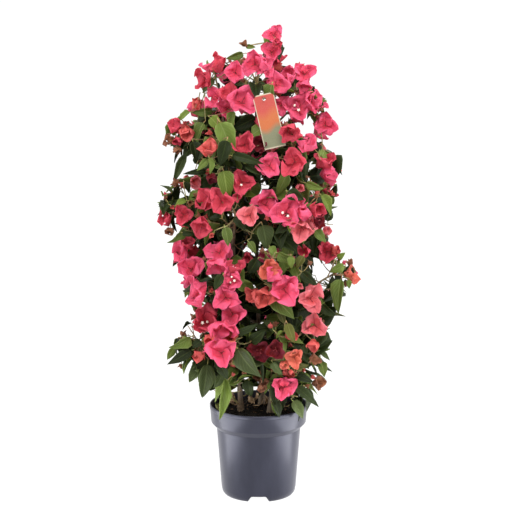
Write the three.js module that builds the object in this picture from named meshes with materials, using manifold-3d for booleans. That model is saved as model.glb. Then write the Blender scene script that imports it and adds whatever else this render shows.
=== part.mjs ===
// A potted bougainvillea, grown as a slim column of flowering shoots in a round plastic nursery pot.
// Millimetres, +Z up. The origin is on the ground under the middle of the pot, and the front faces -Y.
import * as THREE from "three";
import { mergeVertices } from "three/addons/utils/BufferGeometryUtils.js";
import Module from "manifold-3d";

const wasm = await Module();
wasm.setup();

// Driving dimensions of the pot
const POT_HEIGHT = 160;
const POT_RIM_RADIUS = 85;
const POT_BAND_FOOT_RADIUS = 82.4;
const POT_BODY_TOP_RADIUS = 73;
const POT_BODY_FOOT_RADIUS = 65;
const POT_GROUND_RADIUS = 60.5;
const POT_BAND_HEIGHT = 31;
const POT_CHAMFER_HEIGHT = 10;
const POT_WALL = 1.8;
const POT_FLOOR = 12;
const POT_SIDES = 40;
const NOTCH = { count: 3, height: 10.5, topWidth: 26, footWidth: 38, startsAt: 30 };
const DRAIN = { count: 6, radius: 4.5, circle: 40, sides: 10 };
const BAND_FOOT = POT_HEIGHT - POT_BAND_HEIGHT;
const BODY_TOP = BAND_FOOT - POT_CHAMFER_HEIGHT;

// Driving dimensions of the compost and of what grows in it
const SOIL = { top: 148, edgeDrop: 3, plateau: 48 };
const CLEAR = 0.3;
const STEM_RADIUS = [4.4, 2.1];
const STEM_STARTS_BELOW = 4;
const ROOT_FLARE = { extra: 2.6, height: 14 };
const BOUGH_RADIUS = [2.6, 1.8];
const LEADER_RADIUS = [2.5, 1.9];
const TWIG_RADIUS = [1.3, 1];
const LEAF = { shortest: 46, longest: 62, width: 0.6, widestAt: 0.42, thickness: 1.3, fold: 0.1 };
const BRACT = { shortest: 33, longest: 42, joinedTo: 0.56, thickness: 1.5, lobes: 3 };
const GOLDEN_ANGLE = Math.PI * (3 - Math.sqrt(5));

// The three woody stems: each one's foot in the compost, its tip, how far it bows aside, and its crown.
const STEMS = [
  { name: "left_stem", foot: [-31, -8], tip: [-60, -8, 672], bow: [4, -12], crown: "top_left_foliage" },
  { name: "right_stem", foot: [19, -22], tip: [24, -12, 722], bow: [14, -10], crown: "top_spire_foliage" },
  { name: "back_stem", foot: [6, 27], tip: [-4, 34, 666], bow: [-4, 14], crown: "top_back_foliage" },
];

// The masses of foliage: the middle of each one's space, how far it reaches from there, how much taller than
// wide its space is, its number of twigs, and the share of those that end in bracts.
const MASSES = [
  { name: "top_spire_foliage", at: [25, -12, 790], reach: 48, tall: 1, twigs: 7, bloom: 1 },
  { name: "top_left_foliage", at: [-74, -8, 722], reach: 58, tall: 1, twigs: 7, bloom: 0.8 },
  { name: "top_front_foliage", at: [-12, -62, 714], reach: 58, tall: 1, twigs: 6, bloom: 0.9 },
  { name: "top_right_foliage", at: [78, -20, 700], reach: 62, tall: 1, twigs: 7, bloom: 0.9 },
  { name: "top_back_foliage", at: [0, 60, 714], reach: 60, tall: 1, twigs: 7, bloom: 0.8 },
  { name: "left_shoulder_foliage", at: [-108, -4, 624], reach: 64, tall: 1, twigs: 7, bloom: 0.55 },
  { name: "front_left_upper_foliage", at: [-48, -86, 606], reach: 64, tall: 1, twigs: 6, bloom: 0.45 },
  { name: "front_right_upper_foliage", at: [46, -90, 624], reach: 62, tall: 1, twigs: 6, bloom: 0.8 },
  { name: "right_shoulder_foliage", at: [112, -6, 602], reach: 62, tall: 1, twigs: 7, bloom: 0.8 },
  { name: "left_middle_foliage", at: [-114, -14, 506], reach: 66, tall: 1, twigs: 7, bloom: 0.6 },
  { name: "front_left_middle_foliage", at: [-38, -96, 502], reach: 64, tall: 1, twigs: 6, bloom: 0.7 },
  { name: "front_right_middle_foliage", at: [56, -86, 514], reach: 64, tall: 1, twigs: 6, bloom: 0.8 },
  { name: "right_middle_foliage", at: [112, -2, 488], reach: 62, tall: 1, twigs: 7, bloom: 0.5 },
  { name: "left_low_foliage", at: [-108, -14, 390], reach: 64, tall: 1, twigs: 7, bloom: 0.8 },
  { name: "front_left_low_foliage", at: [-54, -90, 396], reach: 64, tall: 1, twigs: 6, bloom: 0.8 },
  { name: "front_right_low_foliage", at: [38, -94, 404], reach: 64, tall: 1, twigs: 6, bloom: 0.6 },
  { name: "right_low_foliage", at: [113, -12, 380], reach: 64, tall: 1, twigs: 7, bloom: 0.6 },
  { name: "left_foot_foliage", at: [-104, -26, 276], reach: 62, tall: 1, twigs: 7, bloom: 0.35 },
  { name: "front_left_foot_foliage", at: [-44, -88, 292], reach: 60, tall: 1, twigs: 6, bloom: 0.6 },
  { name: "front_right_foot_foliage", at: [50, -84, 290], reach: 60, tall: 1, twigs: 6, bloom: 0.6 },
  { name: "right_foot_foliage", at: [104, -12, 272], reach: 60, tall: 1, twigs: 7, bloom: 0.5 },
  { name: "left_rim_foliage", at: [-62, -46, 204], reach: 56, tall: 1, twigs: 6, bloom: 0 },
  { name: "right_rim_foliage", at: [50, -54, 206], reach: 56, tall: 1, twigs: 6, bloom: 0.4 },
  ...["upper", "middle", "low"].flatMap((tier, i) =>
    ["left", "right"].map((hand, j) => ({
      name: `back_${hand}_${tier}_foliage`,
      at: [j ? 62 : -62, 88, 606 - 136 * i - 24 * j],
      reach: 70,
      tall: 1.1,
      twigs: 8,
      bloom: 0.65,
    })),
  ),
].map((mass, order) => ({ ...mass, centre: vector(mass.at), seed: 100 * (order + 1) }));

// A mass further than this from its stem grows on a bough, and a nearer one straight from the stem.
const BOUGH_FROM = 74;

// Where leaves stand on a twig: the side, and how far along. A twig that ends in leaves has two at its tip.
const LEAVES_UNDER_BLOOM = [[-1, 0.4], [1, 0.65]];
const LEAVES_ON_TWIG = [[-1, 0.4], [1, 0.6], [-0.5, 0.97], [0.5, 0.97]];

// From the first share of blooms on, a mass's leader ends in one too. From the second the mass is pink.
const TERMINAL_BLOOM_FROM = 0.4;
const MOSTLY_BLOOM_FROM = 0.65;

// A twig reaches no nearer than this to its leader, and a bloom moves back along its twig by this step.
const SHORTEST_TWIG = { withBloom: 14, withLeaves: 10 };
const BLOOM_STEP = 6;

// A leaf points along its twig by the first share, and hangs by the first of these that keeps it clear.
const LEAF_FORWARD = 0.5;
const LEAF_HANGS = [0.2, 0.7, -0.4, 1.3];

// The hanging label, a blank card, and the bare twig that it hangs on
const LABEL = {
  width: 35,
  length: 90,
  thickness: 0.9,
  hole: 3,
  overHole: 5,
  shoulder: 6,
  lean: -13,
  hangsAt: 0.93,
};
const LABEL_TWIG = { leavesStemAt: 694, tip: [8, -124, 706], radius: [1.9, 1.3] };

const COLOURS = {
  pot: [0x4a4a56, 0.42],
  compost: [0x1d1611, 0.95],
  bark: [0x6e5a44, 0.85],
  leaf: [0x4d7a33, 0.5],
  bract: [0xe0386a, 0.6],
  label: [0xd9a06a, 0.5],
};

const up = new THREE.Vector3(0, 0, 1);
const mix = THREE.MathUtils.lerp;

function vector(list) {
  return new THREE.Vector3(...list);
}

// A small seeded generator, so that the plant grows the same way each time
class Dice {
  constructor(seed) {
    this.state = seed;
    this.roll();
    this.roll();
  }
  roll() {
    this.state = (Math.imul(this.state, 1664525) + 1013904223) >>> 0;
    return this.state / 2 ** 32;
  }
  between(low, high) {
    return mix(low, high, this.roll());
  }
}

// A limb runs from one point to another, bows aside in between, and tapers. A flare widens its foot.
class Limb extends THREE.Curve {
  constructor(from, to, bow, radius, flare = { extra: 0, height: 1 }) {
    super();
    Object.assign(this, { from, to, bow, radius, flare });
    this.span = to.clone().sub(from);
    this.reference = Math.abs(this.span.z) > 0.8 * this.span.length() ? vector([0, 1, 0]) : up;
  }
  getPoint(t, target = new THREE.Vector3()) {
    return target.lerpVectors(this.from, this.to, t).addScaledVector(this.bow, 4 * t * (1 - t));
  }
  heading(t) {
    return this.span.clone().addScaledVector(this.bow, 4 - 8 * t).normalize();
  }
  radiusAt(t) {
    const widened = this.flare.extra * Math.exp((-t * this.span.length()) / this.flare.height);
    return mix(...this.radius, t) + widened;
  }
  atHeight(height) {
    return this.getPoint(THREE.MathUtils.clamp((height - this.from.z) / this.span.z, 0, 1));
  }
}

// A closed three.js geometry as a solid for cutting and joining
function solidOf(geometry) {
  const bare = geometry.clone();
  bare.deleteAttribute("normal");
  bare.deleteAttribute("uv");
  const merged = mergeVertices(bare, 1e-4);
  const vertProperties = merged.attributes.position.array;
  const triVerts = new Uint32Array(merged.index.array);
  return new wasm.Manifold(new wasm.Mesh({ numProp: 3, vertProperties, triVerts }));
}

function geometryOf(solid) {
  const cut = solid.getMesh();
  const geometry = new THREE.BufferGeometry();
  geometry.setAttribute("position", new THREE.BufferAttribute(cut.vertProperties, 3));
  geometry.setIndex(new THREE.BufferAttribute(cut.triVerts, 1));
  return geometry;
}

function cornersOf(solid) {
  const { position } = geometryOf(solid).attributes;
  const corner = (_, i) => new THREE.Vector3().fromBufferAttribute(position, i);
  return Array.from({ length: position.count }, corner);
}

// The largest piece of a joined solid. Loose scraps go, and so does a hollow that the joining sealed.
function mainPiece(solid) {
  return solid.decompose().sort((a, b) => b.volume() - a.volume())[0];
}

function moveVertices(geometry, move) {
  const { position } = geometry.attributes;
  const point = new THREE.Vector3();
  for (let i = 0; i < position.count; i++) {
    move(point.fromBufferAttribute(position, i));
    position.setXYZ(i, point.x, point.y, point.z);
  }
  return geometry;
}

// A tube of a few sides along a limb. grow widens it all round, for a clear cut in a neighbour.
function tube(limb, sides, steps, grow = 0) {
  const straight = new THREE.CylinderGeometry(1, 1, 1, sides, steps);
  const bent = moveVertices(straight, (p) => {
    const t = p.y + 0.5;
    const heading = limb.heading(t);
    const side = heading.clone().cross(limb.reference).normalize();
    const top = side.clone().cross(heading);
    const radius = limb.radiusAt(t) + grow;
    const { x, z } = p;
    limb.getPoint(t, p).addScaledVector(side, x * radius).addScaledVector(top, z * radius);
  });
  return solidOf(bent);
}

// A leaf or bract of 8 faces: its root and tip, its two raised edges, and the fold's top and underside.
function blade(root, along, face, length, { width, widestAt, thickness, fold }, droop) {
  const across = along.clone().cross(face).normalize();
  const raised = across.clone().cross(along).normalize();
  const shaped = moveVertices(new THREE.OctahedronGeometry(1), (p) => {
    const lengthwise = mix(widestAt * length, p.y > 0 ? length : 0, Math.abs(p.y));
    const sideways = (p.x * width * length) / 2;
    const edgeLift = Math.abs(p.x) * fold * length;
    const tipDrop = Math.max(p.y, 0) * droop * length;
    const lift = (p.z * thickness) / 2 + edgeLift - tipDrop;
    p.copy(root).addScaledVector(along, lengthwise);
    p.addScaledVector(across, sideways).addScaledVector(raised, lift);
  });
  return solidOf(shaped);
}

// A direction square to another one
function squareTo(direction) {
  const other = Math.abs(direction.z) > 0.9 ? vector([1, 0, 0]) : up;
  return direction.clone().cross(other).normalize();
}

function joined(parts) {
  return parts.reduce((whole, part) => whole.add(part));
}

// Three broad bracts that meet at their sides to just past half way, as a thin cup with three pointed lobes
function bloom(centre, axis, size, dice) {
  const open = dice.between(0.6, 0.95);
  const profile = [[0, -BRACT.thickness], [1, 0], [0, BRACT.thickness]];
  const lathe = new THREE.LatheGeometry(profile.map((p) => new THREE.Vector2(...p)), 2 * BRACT.lobes);
  const cup = moveVertices(lathe, (p) => {
    const round = Math.atan2(p.x, p.z);
    const reach = Math.cos(BRACT.lobes * round) > 0 ? size : BRACT.joinedTo * size;
    const along = Math.hypot(p.x, p.z) * reach;
    const away = along * Math.sin(open);
    p.set(away * Math.sin(round), along * Math.cos(open) + p.y, away * Math.cos(round));
  });
  cup.rotateY(dice.between(0, Math.PI));
  cup.applyQuaternion(new THREE.Quaternion().setFromUnitVectors(vector([0, 1, 0]), axis));
  return solidOf(cup.translate(...centre.toArray()));
}

// Whether a point lies in a mass's own space: its ellipsoid, short of the planes between it and the others.
function inSpace(mass, point) {
  const offset = point.clone().sub(mass.centre);
  const level = Math.hypot(offset.x, offset.y);
  if (Math.hypot(level, offset.z / mass.tall) > mass.reach) return false;
  return MASSES.every((other) => {
    if (other === mass) return true;
    const apart = other.centre.clone().sub(mass.centre);
    const share = (apart.length() * mass.reach) / (mass.reach + other.reach);
    return offset.dot(apart.normalize()) <= share - CLEAR;
  });
}

// How far a twig can run from a point before it leaves the space
function roomAlong(mass, from, direction) {
  const step = 2;
  let room = 0;
  while (inSpace(mass, from.clone().addScaledVector(direction, room + step))) room += step;
  return room;
}

// A limb that leaves a stem's bark, with a wider copy that keeps others clear of it
function offshoot(limb, stem, steps) {
  const solid = mainPiece(tube(limb, 5, steps).subtract(stem.wide));
  return { limb, solid, wide: tube(limb, 5, steps, CLEAR) };
}

// What carries a mass: the tip of its stem, a bough from the nearest stem, or that stem's bark. Its leader
// goes on from there, past the middle of the mass's space.
function carry(mass, stems) {
  const crowned = stems.find((stem) => stem.crown === mass.name);
  if (crowned) return { mass, leader: leaderFrom(mass, crowned.limb.to, crowned.limb.heading(1), CLEAR) };
  const away = ({ limb }) => limb.atHeight(mass.centre.z).distanceTo(mass.centre);
  const stem = stems.reduce((best, next) => (away(next) < away(best) ? next : best));
  const rise = 0.75 * mass.reach - 0.12 * mass.centre.y;
  const from = stem.limb.atHeight(mass.centre.z - rise);
  const outward = mass.centre.clone().sub(from).normalize();
  if (away(stem) < BOUGH_FROM) return { mass, leader: leaderFrom(mass, from, outward, 0) };
  const entry = mass.centre.clone().addScaledVector(outward, -0.5 * mass.reach);
  const limb = new Limb(from, entry, vector([0, 0, -5]), BOUGH_RADIUS);
  return { mass, bough: offshoot(limb, stem, 3), leader: leaderFrom(mass, entry, limb.heading(1), CLEAR) };
}

function leaderFrom(mass, entry, heading, gap) {
  const outward = mass.centre.clone().sub(entry).normalize();
  const start = entry.clone().addScaledVector(heading, gap);
  const span = mass.centre.clone().addScaledVector(outward, 0.42 * mass.reach).sub(start);
  const bow = heading.clone().multiplyScalar(span.length()).sub(span).multiplyScalar(0.25);
  const limb = new Limb(start, start.clone().add(span), bow, LEADER_RADIUS);
  return { limb, outward, solid: tube(limb, 4, 3), wide: tube(limb, 4, 3, 2 * CLEAR) };
}

// The leader, twigs, leaves and blooms of one mass, joined into one solid
function growMass({ mass, leader }, limbs, otherLeaders) {
  const { outward } = leader;
  const obstacles = [...limbs, ...otherLeaders];
  const blades = [];
  const clearOf = (solid, others) => others.every((other) => other.intersect(solid).isEmpty());
  const staysIn = (solid) => cornersOf(solid).every((corner) => inSpace(mass, corner));
  const fits = (solid, others = []) =>
    staysIn(solid) && clearOf(solid, [...obstacles, ...blades, ...others]);

  // A bloom sits as far out along its twig as it fits.
  const findBloom = (root, away, farthest, nearest, dice) => {
    const size = dice.between(BRACT.shortest, BRACT.longest);
    const axis = away.clone().multiplyScalar(0.6).addScaledVector(outward, 0.5).normalize();
    for (let length = farthest; length >= nearest; length -= BLOOM_STEP) {
      const flower = bloom(root.clone().addScaledVector(away, length), axis, size, dice);
      if (fits(flower)) return { flower, length };
    }
    return {};
  };

  const leaderSolid = mainPiece(limbs.reduce((rest, limb) => rest.subtract(limb), leader.solid));
  if (mass.bloom >= TERMINAL_BLOOM_FROM) {
    const { flower } = findBloom(leader.limb.to, outward, 0, 0, new Dice(mass.seed));
    if (flower) blades.push(flower);
  }
  const twigs = [];
  for (let k = 0; k < mass.twigs; k++) {
    const dice = new Dice(mass.seed + 1 + k);
    const share = (k + 0.5) / mass.twigs;
    const root = leader.limb.getPoint(mix(0.25, 0.9, share));
    const open = mix(1.6, 0.5, share) + dice.between(-0.2, 0.2);
    const turned = squareTo(outward).applyAxisAngle(outward, k * GOLDEN_ANGLE + dice.between(-0.3, 0.3));
    const away = outward.clone().multiplyScalar(Math.cos(open)).addScaledVector(turned, Math.sin(open));
    const room = roomAlong(mass, root, away);
    const flowers = dice.roll() < mass.bloom;
    const { withBloom, withLeaves } = SHORTEST_TWIG;
    const { flower, length = Math.max(room - 0.8 * LEAF.shortest, withLeaves) } = flowers
      ? findBloom(root, away, room - 0.5 * BRACT.longest, withBloom, dice)
      : {};
    const tip = root.clone().addScaledVector(away, length);
    const limb = new Limb(root, tip, vector([0, 0, 0]), TWIG_RADIUS);
    const solid = tube(limb, 3, 1);
    if (!staysIn(solid) || !clearOf(solid, obstacles)) continue;
    if (flower) blades.push(flower);
    twigs.push({ dice, away, flower, limb, solid });
  }

  // A leaf is tried in a few directions, and left out where none keeps it clear of the rest.
  for (const { dice, away, flower, limb, solid } of twigs) {
    const others = [leaderSolid, ...twigs.map((twig) => twig.solid).filter((other) => other !== solid)];
    const flank = away.clone().cross(up).normalize();
    const face = up.clone().addScaledVector(outward, 0.7).normalize();
    for (const [hand, t] of flower ? LEAVES_UNDER_BLOOM : LEAVES_ON_TWIG) {
      const length = dice.between(LEAF.shortest, LEAF.longest);
      const droop = dice.between(0.05, 0.2);
      for (const lower of LEAF_HANGS) {
        const aim = away.clone().multiplyScalar(LEAF_FORWARD).addScaledVector(flank, hand);
        aim.addScaledVector(up, -lower).normalize();
        const leaf = blade(limb.getPoint(t), aim, face, length, LEAF, droop);
        if (!fits(leaf, others)) continue;
        blades.push(leaf);
        break;
      }
    }
  }
  return mainPiece(joined([leaderSolid, ...twigs.map((twig) => twig.solid), ...blades]));
}

function turnedSolid(profile) {
  const points = profile.map(([radius, height]) => new THREE.Vector2(radius, height));
  return solidOf(new THREE.LatheGeometry(points, POT_SIDES).rotateX(Math.PI / 2));
}

// The pot: a raised floor inside a notched foot, a tapering body, a chamfer, and a wide band up to the rim.
function makePot() {
  const underside = [
    [0, POT_FLOOR],
    [POT_BODY_FOOT_RADIUS - POT_WALL - 1.5, POT_FLOOR],
    [POT_GROUND_RADIUS - POT_WALL, 0],
  ];
  const outside = [
    [POT_GROUND_RADIUS, 0],
    [POT_BODY_FOOT_RADIUS - 1.4, 4.5],
    [POT_BODY_FOOT_RADIUS, POT_FLOOR],
    [POT_BODY_TOP_RADIUS, BODY_TOP],
    [POT_BAND_FOOT_RADIUS, BAND_FOOT],
    [POT_RIM_RADIUS, POT_HEIGHT - 2],
    [POT_RIM_RADIUS - 0.6, POT_HEIGHT],
  ];
  const inside = [
    [POT_RIM_RADIUS - POT_WALL - 0.4, POT_HEIGHT],
    [POT_BAND_FOOT_RADIUS - POT_WALL, BAND_FOOT],
    [POT_BODY_TOP_RADIUS - POT_WALL, BODY_TOP],
    [POT_BODY_FOOT_RADIUS - POT_WALL, POT_FLOOR + POT_WALL],
    [0, POT_FLOOR + POT_WALL],
  ];
  const shell = turnedSolid([...underside, ...outside, ...inside]);
  const cutters = [...allRound(NOTCH.count, notchCutter), ...allRound(DRAIN.count, drainCutter)];
  return cutters.reduce((pot, cutter) => pot.subtract(cutter), shell);
}

function allRound(count, cutterAt) {
  return Array.from({ length: count }, (_, i) => cutterAt((i * 2 * Math.PI) / count));
}

// The tapered opening in the pot's foot. The first one faces the front.
function notchCutter(angle) {
  const foot = NOTCH.footWidth / 2;
  const top = NOTCH.topWidth / 2;
  const corners = [[-foot, -1], [foot, -1], [top, NOTCH.height], [-top, NOTCH.height]];
  const outline = new THREE.Shape(corners.map(([x, y]) => new THREE.Vector2(x, y)));
  const depth = POT_RIM_RADIUS - NOTCH.startsAt;
  const cutter = new THREE.ExtrudeGeometry(outline, { depth, bevelEnabled: false });
  return solidOf(cutter.rotateX(Math.PI / 2).translate(0, -NOTCH.startsAt, 0).rotateZ(angle));
}

function drainCutter(angle) {
  const hole = new THREE.CylinderGeometry(DRAIN.radius, DRAIN.radius, 3 * POT_WALL, DRAIN.sides);
  hole.rotateX(Math.PI / 2).translate(DRAIN.circle, 0, POT_FLOOR + POT_WALL / 2);
  return solidOf(hole.rotateZ(angle));
}

// The compost that fills the pot, clear of its wall, with a level top where the stems stand
function makeCompost() {
  const gap = POT_WALL + 2 * CLEAR;
  const bottom = POT_FLOOR + POT_WALL + CLEAR;
  return turnedSolid([
    [0, bottom],
    [POT_BODY_FOOT_RADIUS - gap, bottom],
    [POT_BODY_TOP_RADIUS - gap, BODY_TOP],
    [POT_BAND_FOOT_RADIUS - gap, BAND_FOOT + 1],
    [POT_BAND_FOOT_RADIUS - gap + 0.8, SOIL.top - SOIL.edgeDrop],
    [SOIL.plateau, SOIL.top],
    [0, SOIL.top],
  ]);
}

// Each stem is cut flat at the ground, where it stands on the compost.
function makeStems() {
  const block = new THREE.BoxGeometry(2 * POT_RIM_RADIUS, 2 * POT_RIM_RADIUS, SOIL.top);
  const ground = solidOf(block.translate(0, 0, SOIL.top / 2 + CLEAR));
  return STEMS.map((stem) => {
    const from = vector([...stem.foot, SOIL.top - STEM_STARTS_BELOW]);
    const limb = new Limb(from, vector(stem.tip), vector([...stem.bow, 0]), STEM_RADIUS, ROOT_FLARE);
    const solid = mainPiece(tube(limb, 6, 10).subtract(ground));
    return { ...stem, limb, solid, wide: tube(limb, 6, 10, CLEAR) };
  });
}

function makeLabelTwig(stem) {
  const from = stem.limb.atHeight(LABEL_TWIG.leavesStemAt);
  return offshoot(new Limb(from, vector(LABEL_TWIG.tip), vector([0, 0, 6]), LABEL_TWIG.radius), stem, 4);
}

// The card, hung by the hole under its cut corners
function makeLabel(limb) {
  const half = LABEL.width / 2;
  const top = LABEL.hole + LABEL.overHole;
  const foot = top - LABEL.length;
  const neck = half - LABEL.shoulder;
  const side = top - LABEL.shoulder;
  const corners = [[-half, foot], [half, foot], [half, side], [neck, top], [-neck, top], [-half, side]];
  const outline = new THREE.Shape(corners.map(([x, y]) => new THREE.Vector2(x, y)));
  outline.holes.push(new THREE.Path().absarc(0, 0, LABEL.hole, 0, 2 * Math.PI));
  const depth = LABEL.thickness;
  const card = new THREE.ExtrudeGeometry(outline, { depth, bevelEnabled: false, curveSegments: 5 });
  const slack = LABEL.hole - limb.radiusAt(LABEL.hangsAt) - CLEAR;
  const hook = limb.getPoint(LABEL.hangsAt);
  card.rotateX(Math.PI / 2).rotateY(THREE.MathUtils.degToRad(LABEL.lean));
  return solidOf(card.translate(hook.x, hook.y + LABEL.thickness / 2, hook.z - slack));
}

const plant = new THREE.Group();

function addNode(name, solid, colour) {
  const [color, roughness] = COLOURS[colour];
  const material = new THREE.MeshStandardMaterial({ color, roughness, metalness: 0 });
  const mesh = new THREE.Mesh(geometryOf(solid), material);
  mesh.name = name;
  plant.add(mesh);
}

const pot = makePot();
const compost = makeCompost();
const stems = makeStems();
const labelTwig = makeLabelTwig(stems[1]);
const label = makeLabel(labelTwig.limb);
const plans = MASSES.map((mass) => carry(mass, stems));
const boughs = plans.flatMap(({ bough }) => bough ?? []);
const limbs = [pot, compost, label, ...[...stems, labelTwig, ...boughs].map(({ wide }) => wide)];

addNode("pot", pot, "pot");
addNode("compost", compost, "compost");
stems.forEach(({ name, solid }) => addNode(name, solid, "bark"));
addNode("label_twig", labelTwig.solid, "bark");
addNode("label_card", label, "label");
for (const plan of plans) {
  const { mass, bough } = plan;
  const otherLeaders = plans.filter((other) => other !== plan).map(({ leader }) => leader.wide);
  if (bough) addNode(mass.name.replace("foliage", "bough"), bough.solid, "bark");
  const colour = mass.bloom < MOSTLY_BLOOM_FROM ? "leaf" : "bract";
  addNode(mass.name, growMass(plan, limbs, otherLeaders), colour);
}

export default plant;
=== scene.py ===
import math

import bmesh
import bpy
import numpy as np
from mathutils import Matrix, Vector, noise


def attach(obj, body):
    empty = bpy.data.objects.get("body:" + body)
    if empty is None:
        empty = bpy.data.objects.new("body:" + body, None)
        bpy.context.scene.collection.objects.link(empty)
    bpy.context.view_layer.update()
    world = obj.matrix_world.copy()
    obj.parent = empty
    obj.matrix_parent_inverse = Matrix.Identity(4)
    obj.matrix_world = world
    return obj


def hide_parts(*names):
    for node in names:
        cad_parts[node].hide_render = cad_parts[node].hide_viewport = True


# The looks of a potted bougainvillea. Lengths are in millimetres until a mesh is made, which is in metres.
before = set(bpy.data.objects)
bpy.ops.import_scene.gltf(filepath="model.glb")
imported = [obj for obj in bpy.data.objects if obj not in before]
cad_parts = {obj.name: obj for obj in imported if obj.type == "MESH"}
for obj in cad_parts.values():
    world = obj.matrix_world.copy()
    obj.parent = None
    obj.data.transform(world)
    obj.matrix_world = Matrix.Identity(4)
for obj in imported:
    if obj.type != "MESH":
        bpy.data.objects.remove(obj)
MM = 0.001
UP = Vector((0, 0, 1))
FRONT = Vector((0, -1, 0))
GOLDEN_ANGLE = math.pi * (3 - math.sqrt(5))


def note_size():
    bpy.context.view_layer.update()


note_size()


# The camera, at the photograph's viewing angle. CAMERA_PLACE is in millimetres.
CAMERA_PLACE = Vector((6.8, -3200, 1083.6))
CAMERA_PITCH = math.radians(11.889)
CAMERA_LENS = 130.9
SENSOR = 36
IMAGE = 525
PIXELS = IMAGE * CAMERA_LENS / SENSOR


def make_camera():
    data = bpy.data.cameras.new("camera")
    data.lens = CAMERA_LENS
    data.sensor_width = SENSOR
    data.clip_end = 100
    camera = bpy.data.objects.new("camera", data)
    camera.location = CAMERA_PLACE * MM
    camera.rotation_euler = (math.pi / 2 - CAMERA_PITCH, 0, 0)
    bpy.context.scene.collection.objects.link(camera)
    bpy.context.scene.camera = camera


make_camera()

AHEAD = Vector((0, math.cos(CAMERA_PITCH), -math.sin(CAMERA_PITCH)))
ABOVE = Vector((0, math.sin(CAMERA_PITCH), math.cos(CAMERA_PITCH)))


def on_picture(point):
    """Where a point falls in the picture, in pixels, and how far off it is."""
    offset = point - CAMERA_PLACE
    depth = offset.dot(AHEAD)
    across = IMAGE / 2 + PIXELS * offset.x / depth
    down = IMAGE / 2 - PIXELS * offset.dot(ABOVE) / depth
    return across, down, depth


def behind_pixel(across, down, y):
    """The point behind a pixel at the depth y."""
    ray = AHEAD + Vector((across - IMAGE / 2, 0, 0)) / PIXELS + ABOVE * (IMAGE / 2 - down) / PIXELS
    return CAMERA_PLACE + ray * ((y - CAMERA_PLACE.y) / ray.y)


# The source's sizes and its growing rule, written again. A pair of radii is at a limb's foot and at its tip.
SOIL_TOP = 148
SOIL_EDGE = 145
SOIL_PLATEAU = 48
SOIL_FALL = 32
CLEAR = 0.3
STEM_RADIUS = (4.4, 2.1)
ROOT_FLARE = (2.6, 14)
BOUGH_RADIUS = (2.6, 1.8)
LEADER_RADIUS = (2.2, 1.3)
TWIG_RADIUS = (1.3, 0.8)
SHOOT_RADIUS = (0.95, 0.6)
STALK_RADIUS = (0.7, 0.55)
BOUGH_FROM = 74
BOUGH_BELOW = 0.75
BOUGH_RISE = 0.12
BOUGH_ENDS = 0.5
BOUGH_SAG = 5
LEADER_PAST = 0.42
LEADER_BOW = 0.25
STEMS = {
    "left_stem": ((-31, -8), (-60, -8, 672), (4, -12), "top_left"),
    "right_stem": ((19, -22), (24, -12, 722), (14, -10), "top_spire"),
    "back_stem": ((6, 27), (-4, 34, 666), (-4, 14), "top_back"),
}
FRONT_AND_SIDES = [
    ("top_spire", (25, -12, 790), 48, 7, 1.0),
    ("top_left", (-74, -8, 722), 58, 7, 0.8),
    ("top_front", (-12, -62, 714), 58, 6, 0.9),
    ("top_right", (78, -20, 700), 62, 7, 0.9),
    ("top_back", (0, 60, 714), 60, 7, 0.8),
    ("left_shoulder", (-108, -4, 624), 64, 7, 0.55),
    ("front_left_upper", (-48, -86, 606), 64, 6, 0.45),
    ("front_right_upper", (46, -90, 624), 62, 6, 0.8),
    ("right_shoulder", (112, -6, 602), 62, 7, 0.8),
    ("left_middle", (-114, -14, 506), 66, 7, 0.6),
    ("front_left_middle", (-38, -96, 502), 64, 6, 0.7),
    ("front_right_middle", (56, -86, 514), 64, 6, 0.8),
    ("right_middle", (112, -2, 488), 62, 7, 0.5),
    ("left_low", (-108, -14, 390), 64, 7, 0.8),
    ("front_left_low", (-54, -90, 396), 64, 6, 0.8),
    ("front_right_low", (38, -94, 404), 64, 6, 0.6),
    ("right_low", (113, -12, 380), 64, 7, 0.6),
    ("left_foot", (-104, -26, 276), 62, 7, 0.35),
    ("front_left_foot", (-44, -88, 292), 60, 6, 0.6),
    ("front_right_foot", (50, -84, 290), 60, 6, 0.6),
    ("right_foot", (104, -12, 272), 60, 7, 0.5),
    ("left_rim", (-62, -46, 204), 56, 6, 0.0),
    ("right_rim", (50, -54, 206), 56, 6, 0.4),
]
BACK_TIERS = ("upper", "middle", "low")
LABEL_TWIG_LEAVES_AT = 694
LABEL_TWIG_TIP = (8, -124, 706)
LABEL_TWIG_RADIUS = (1.9, 1.3)
LABEL_TWIG_BOW = (0, 0, 6)

# The first seed of each kind of growth. What grows on a mass adds its own to the mass's seed.
SHADE_SEED = 55
SHOWN_SEED = 77
LEAF_SEED = 300
BRACT_SEED = 400
CRUMB_SEED = 500
DRY_SEED = 2600
BOUGH_SEED = 7000
SPUR_SEED = 9000
SPUR_SEEDS_PER_STEM = 500
INNER_SEED = 60
TIP_SEED = 80


def mix(low, high, t):
    return low + (high - low) * t


class Dice:
    """A small seeded generator, so that the plant grows the same way each time."""

    def __init__(self, seed):
        self.state = seed
        self.roll()
        self.roll()

    def roll(self):
        self.state = (self.state * 1664525 + 1013904223) % 2**32
        return self.state / 2**32

    def between(self, low, high):
        return mix(low, high, self.roll())

    def pick(self, chances):
        """One of the names in a table of name to chance."""
        left = self.roll() * sum(chances.values())
        for name, chance in chances.items():
            left -= chance
            if left < 0:
                return name
        return name

    def drift(self, size):
        """A small vector in any direction."""
        return Vector([self.between(-size, size) for _ in range(3)])


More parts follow.
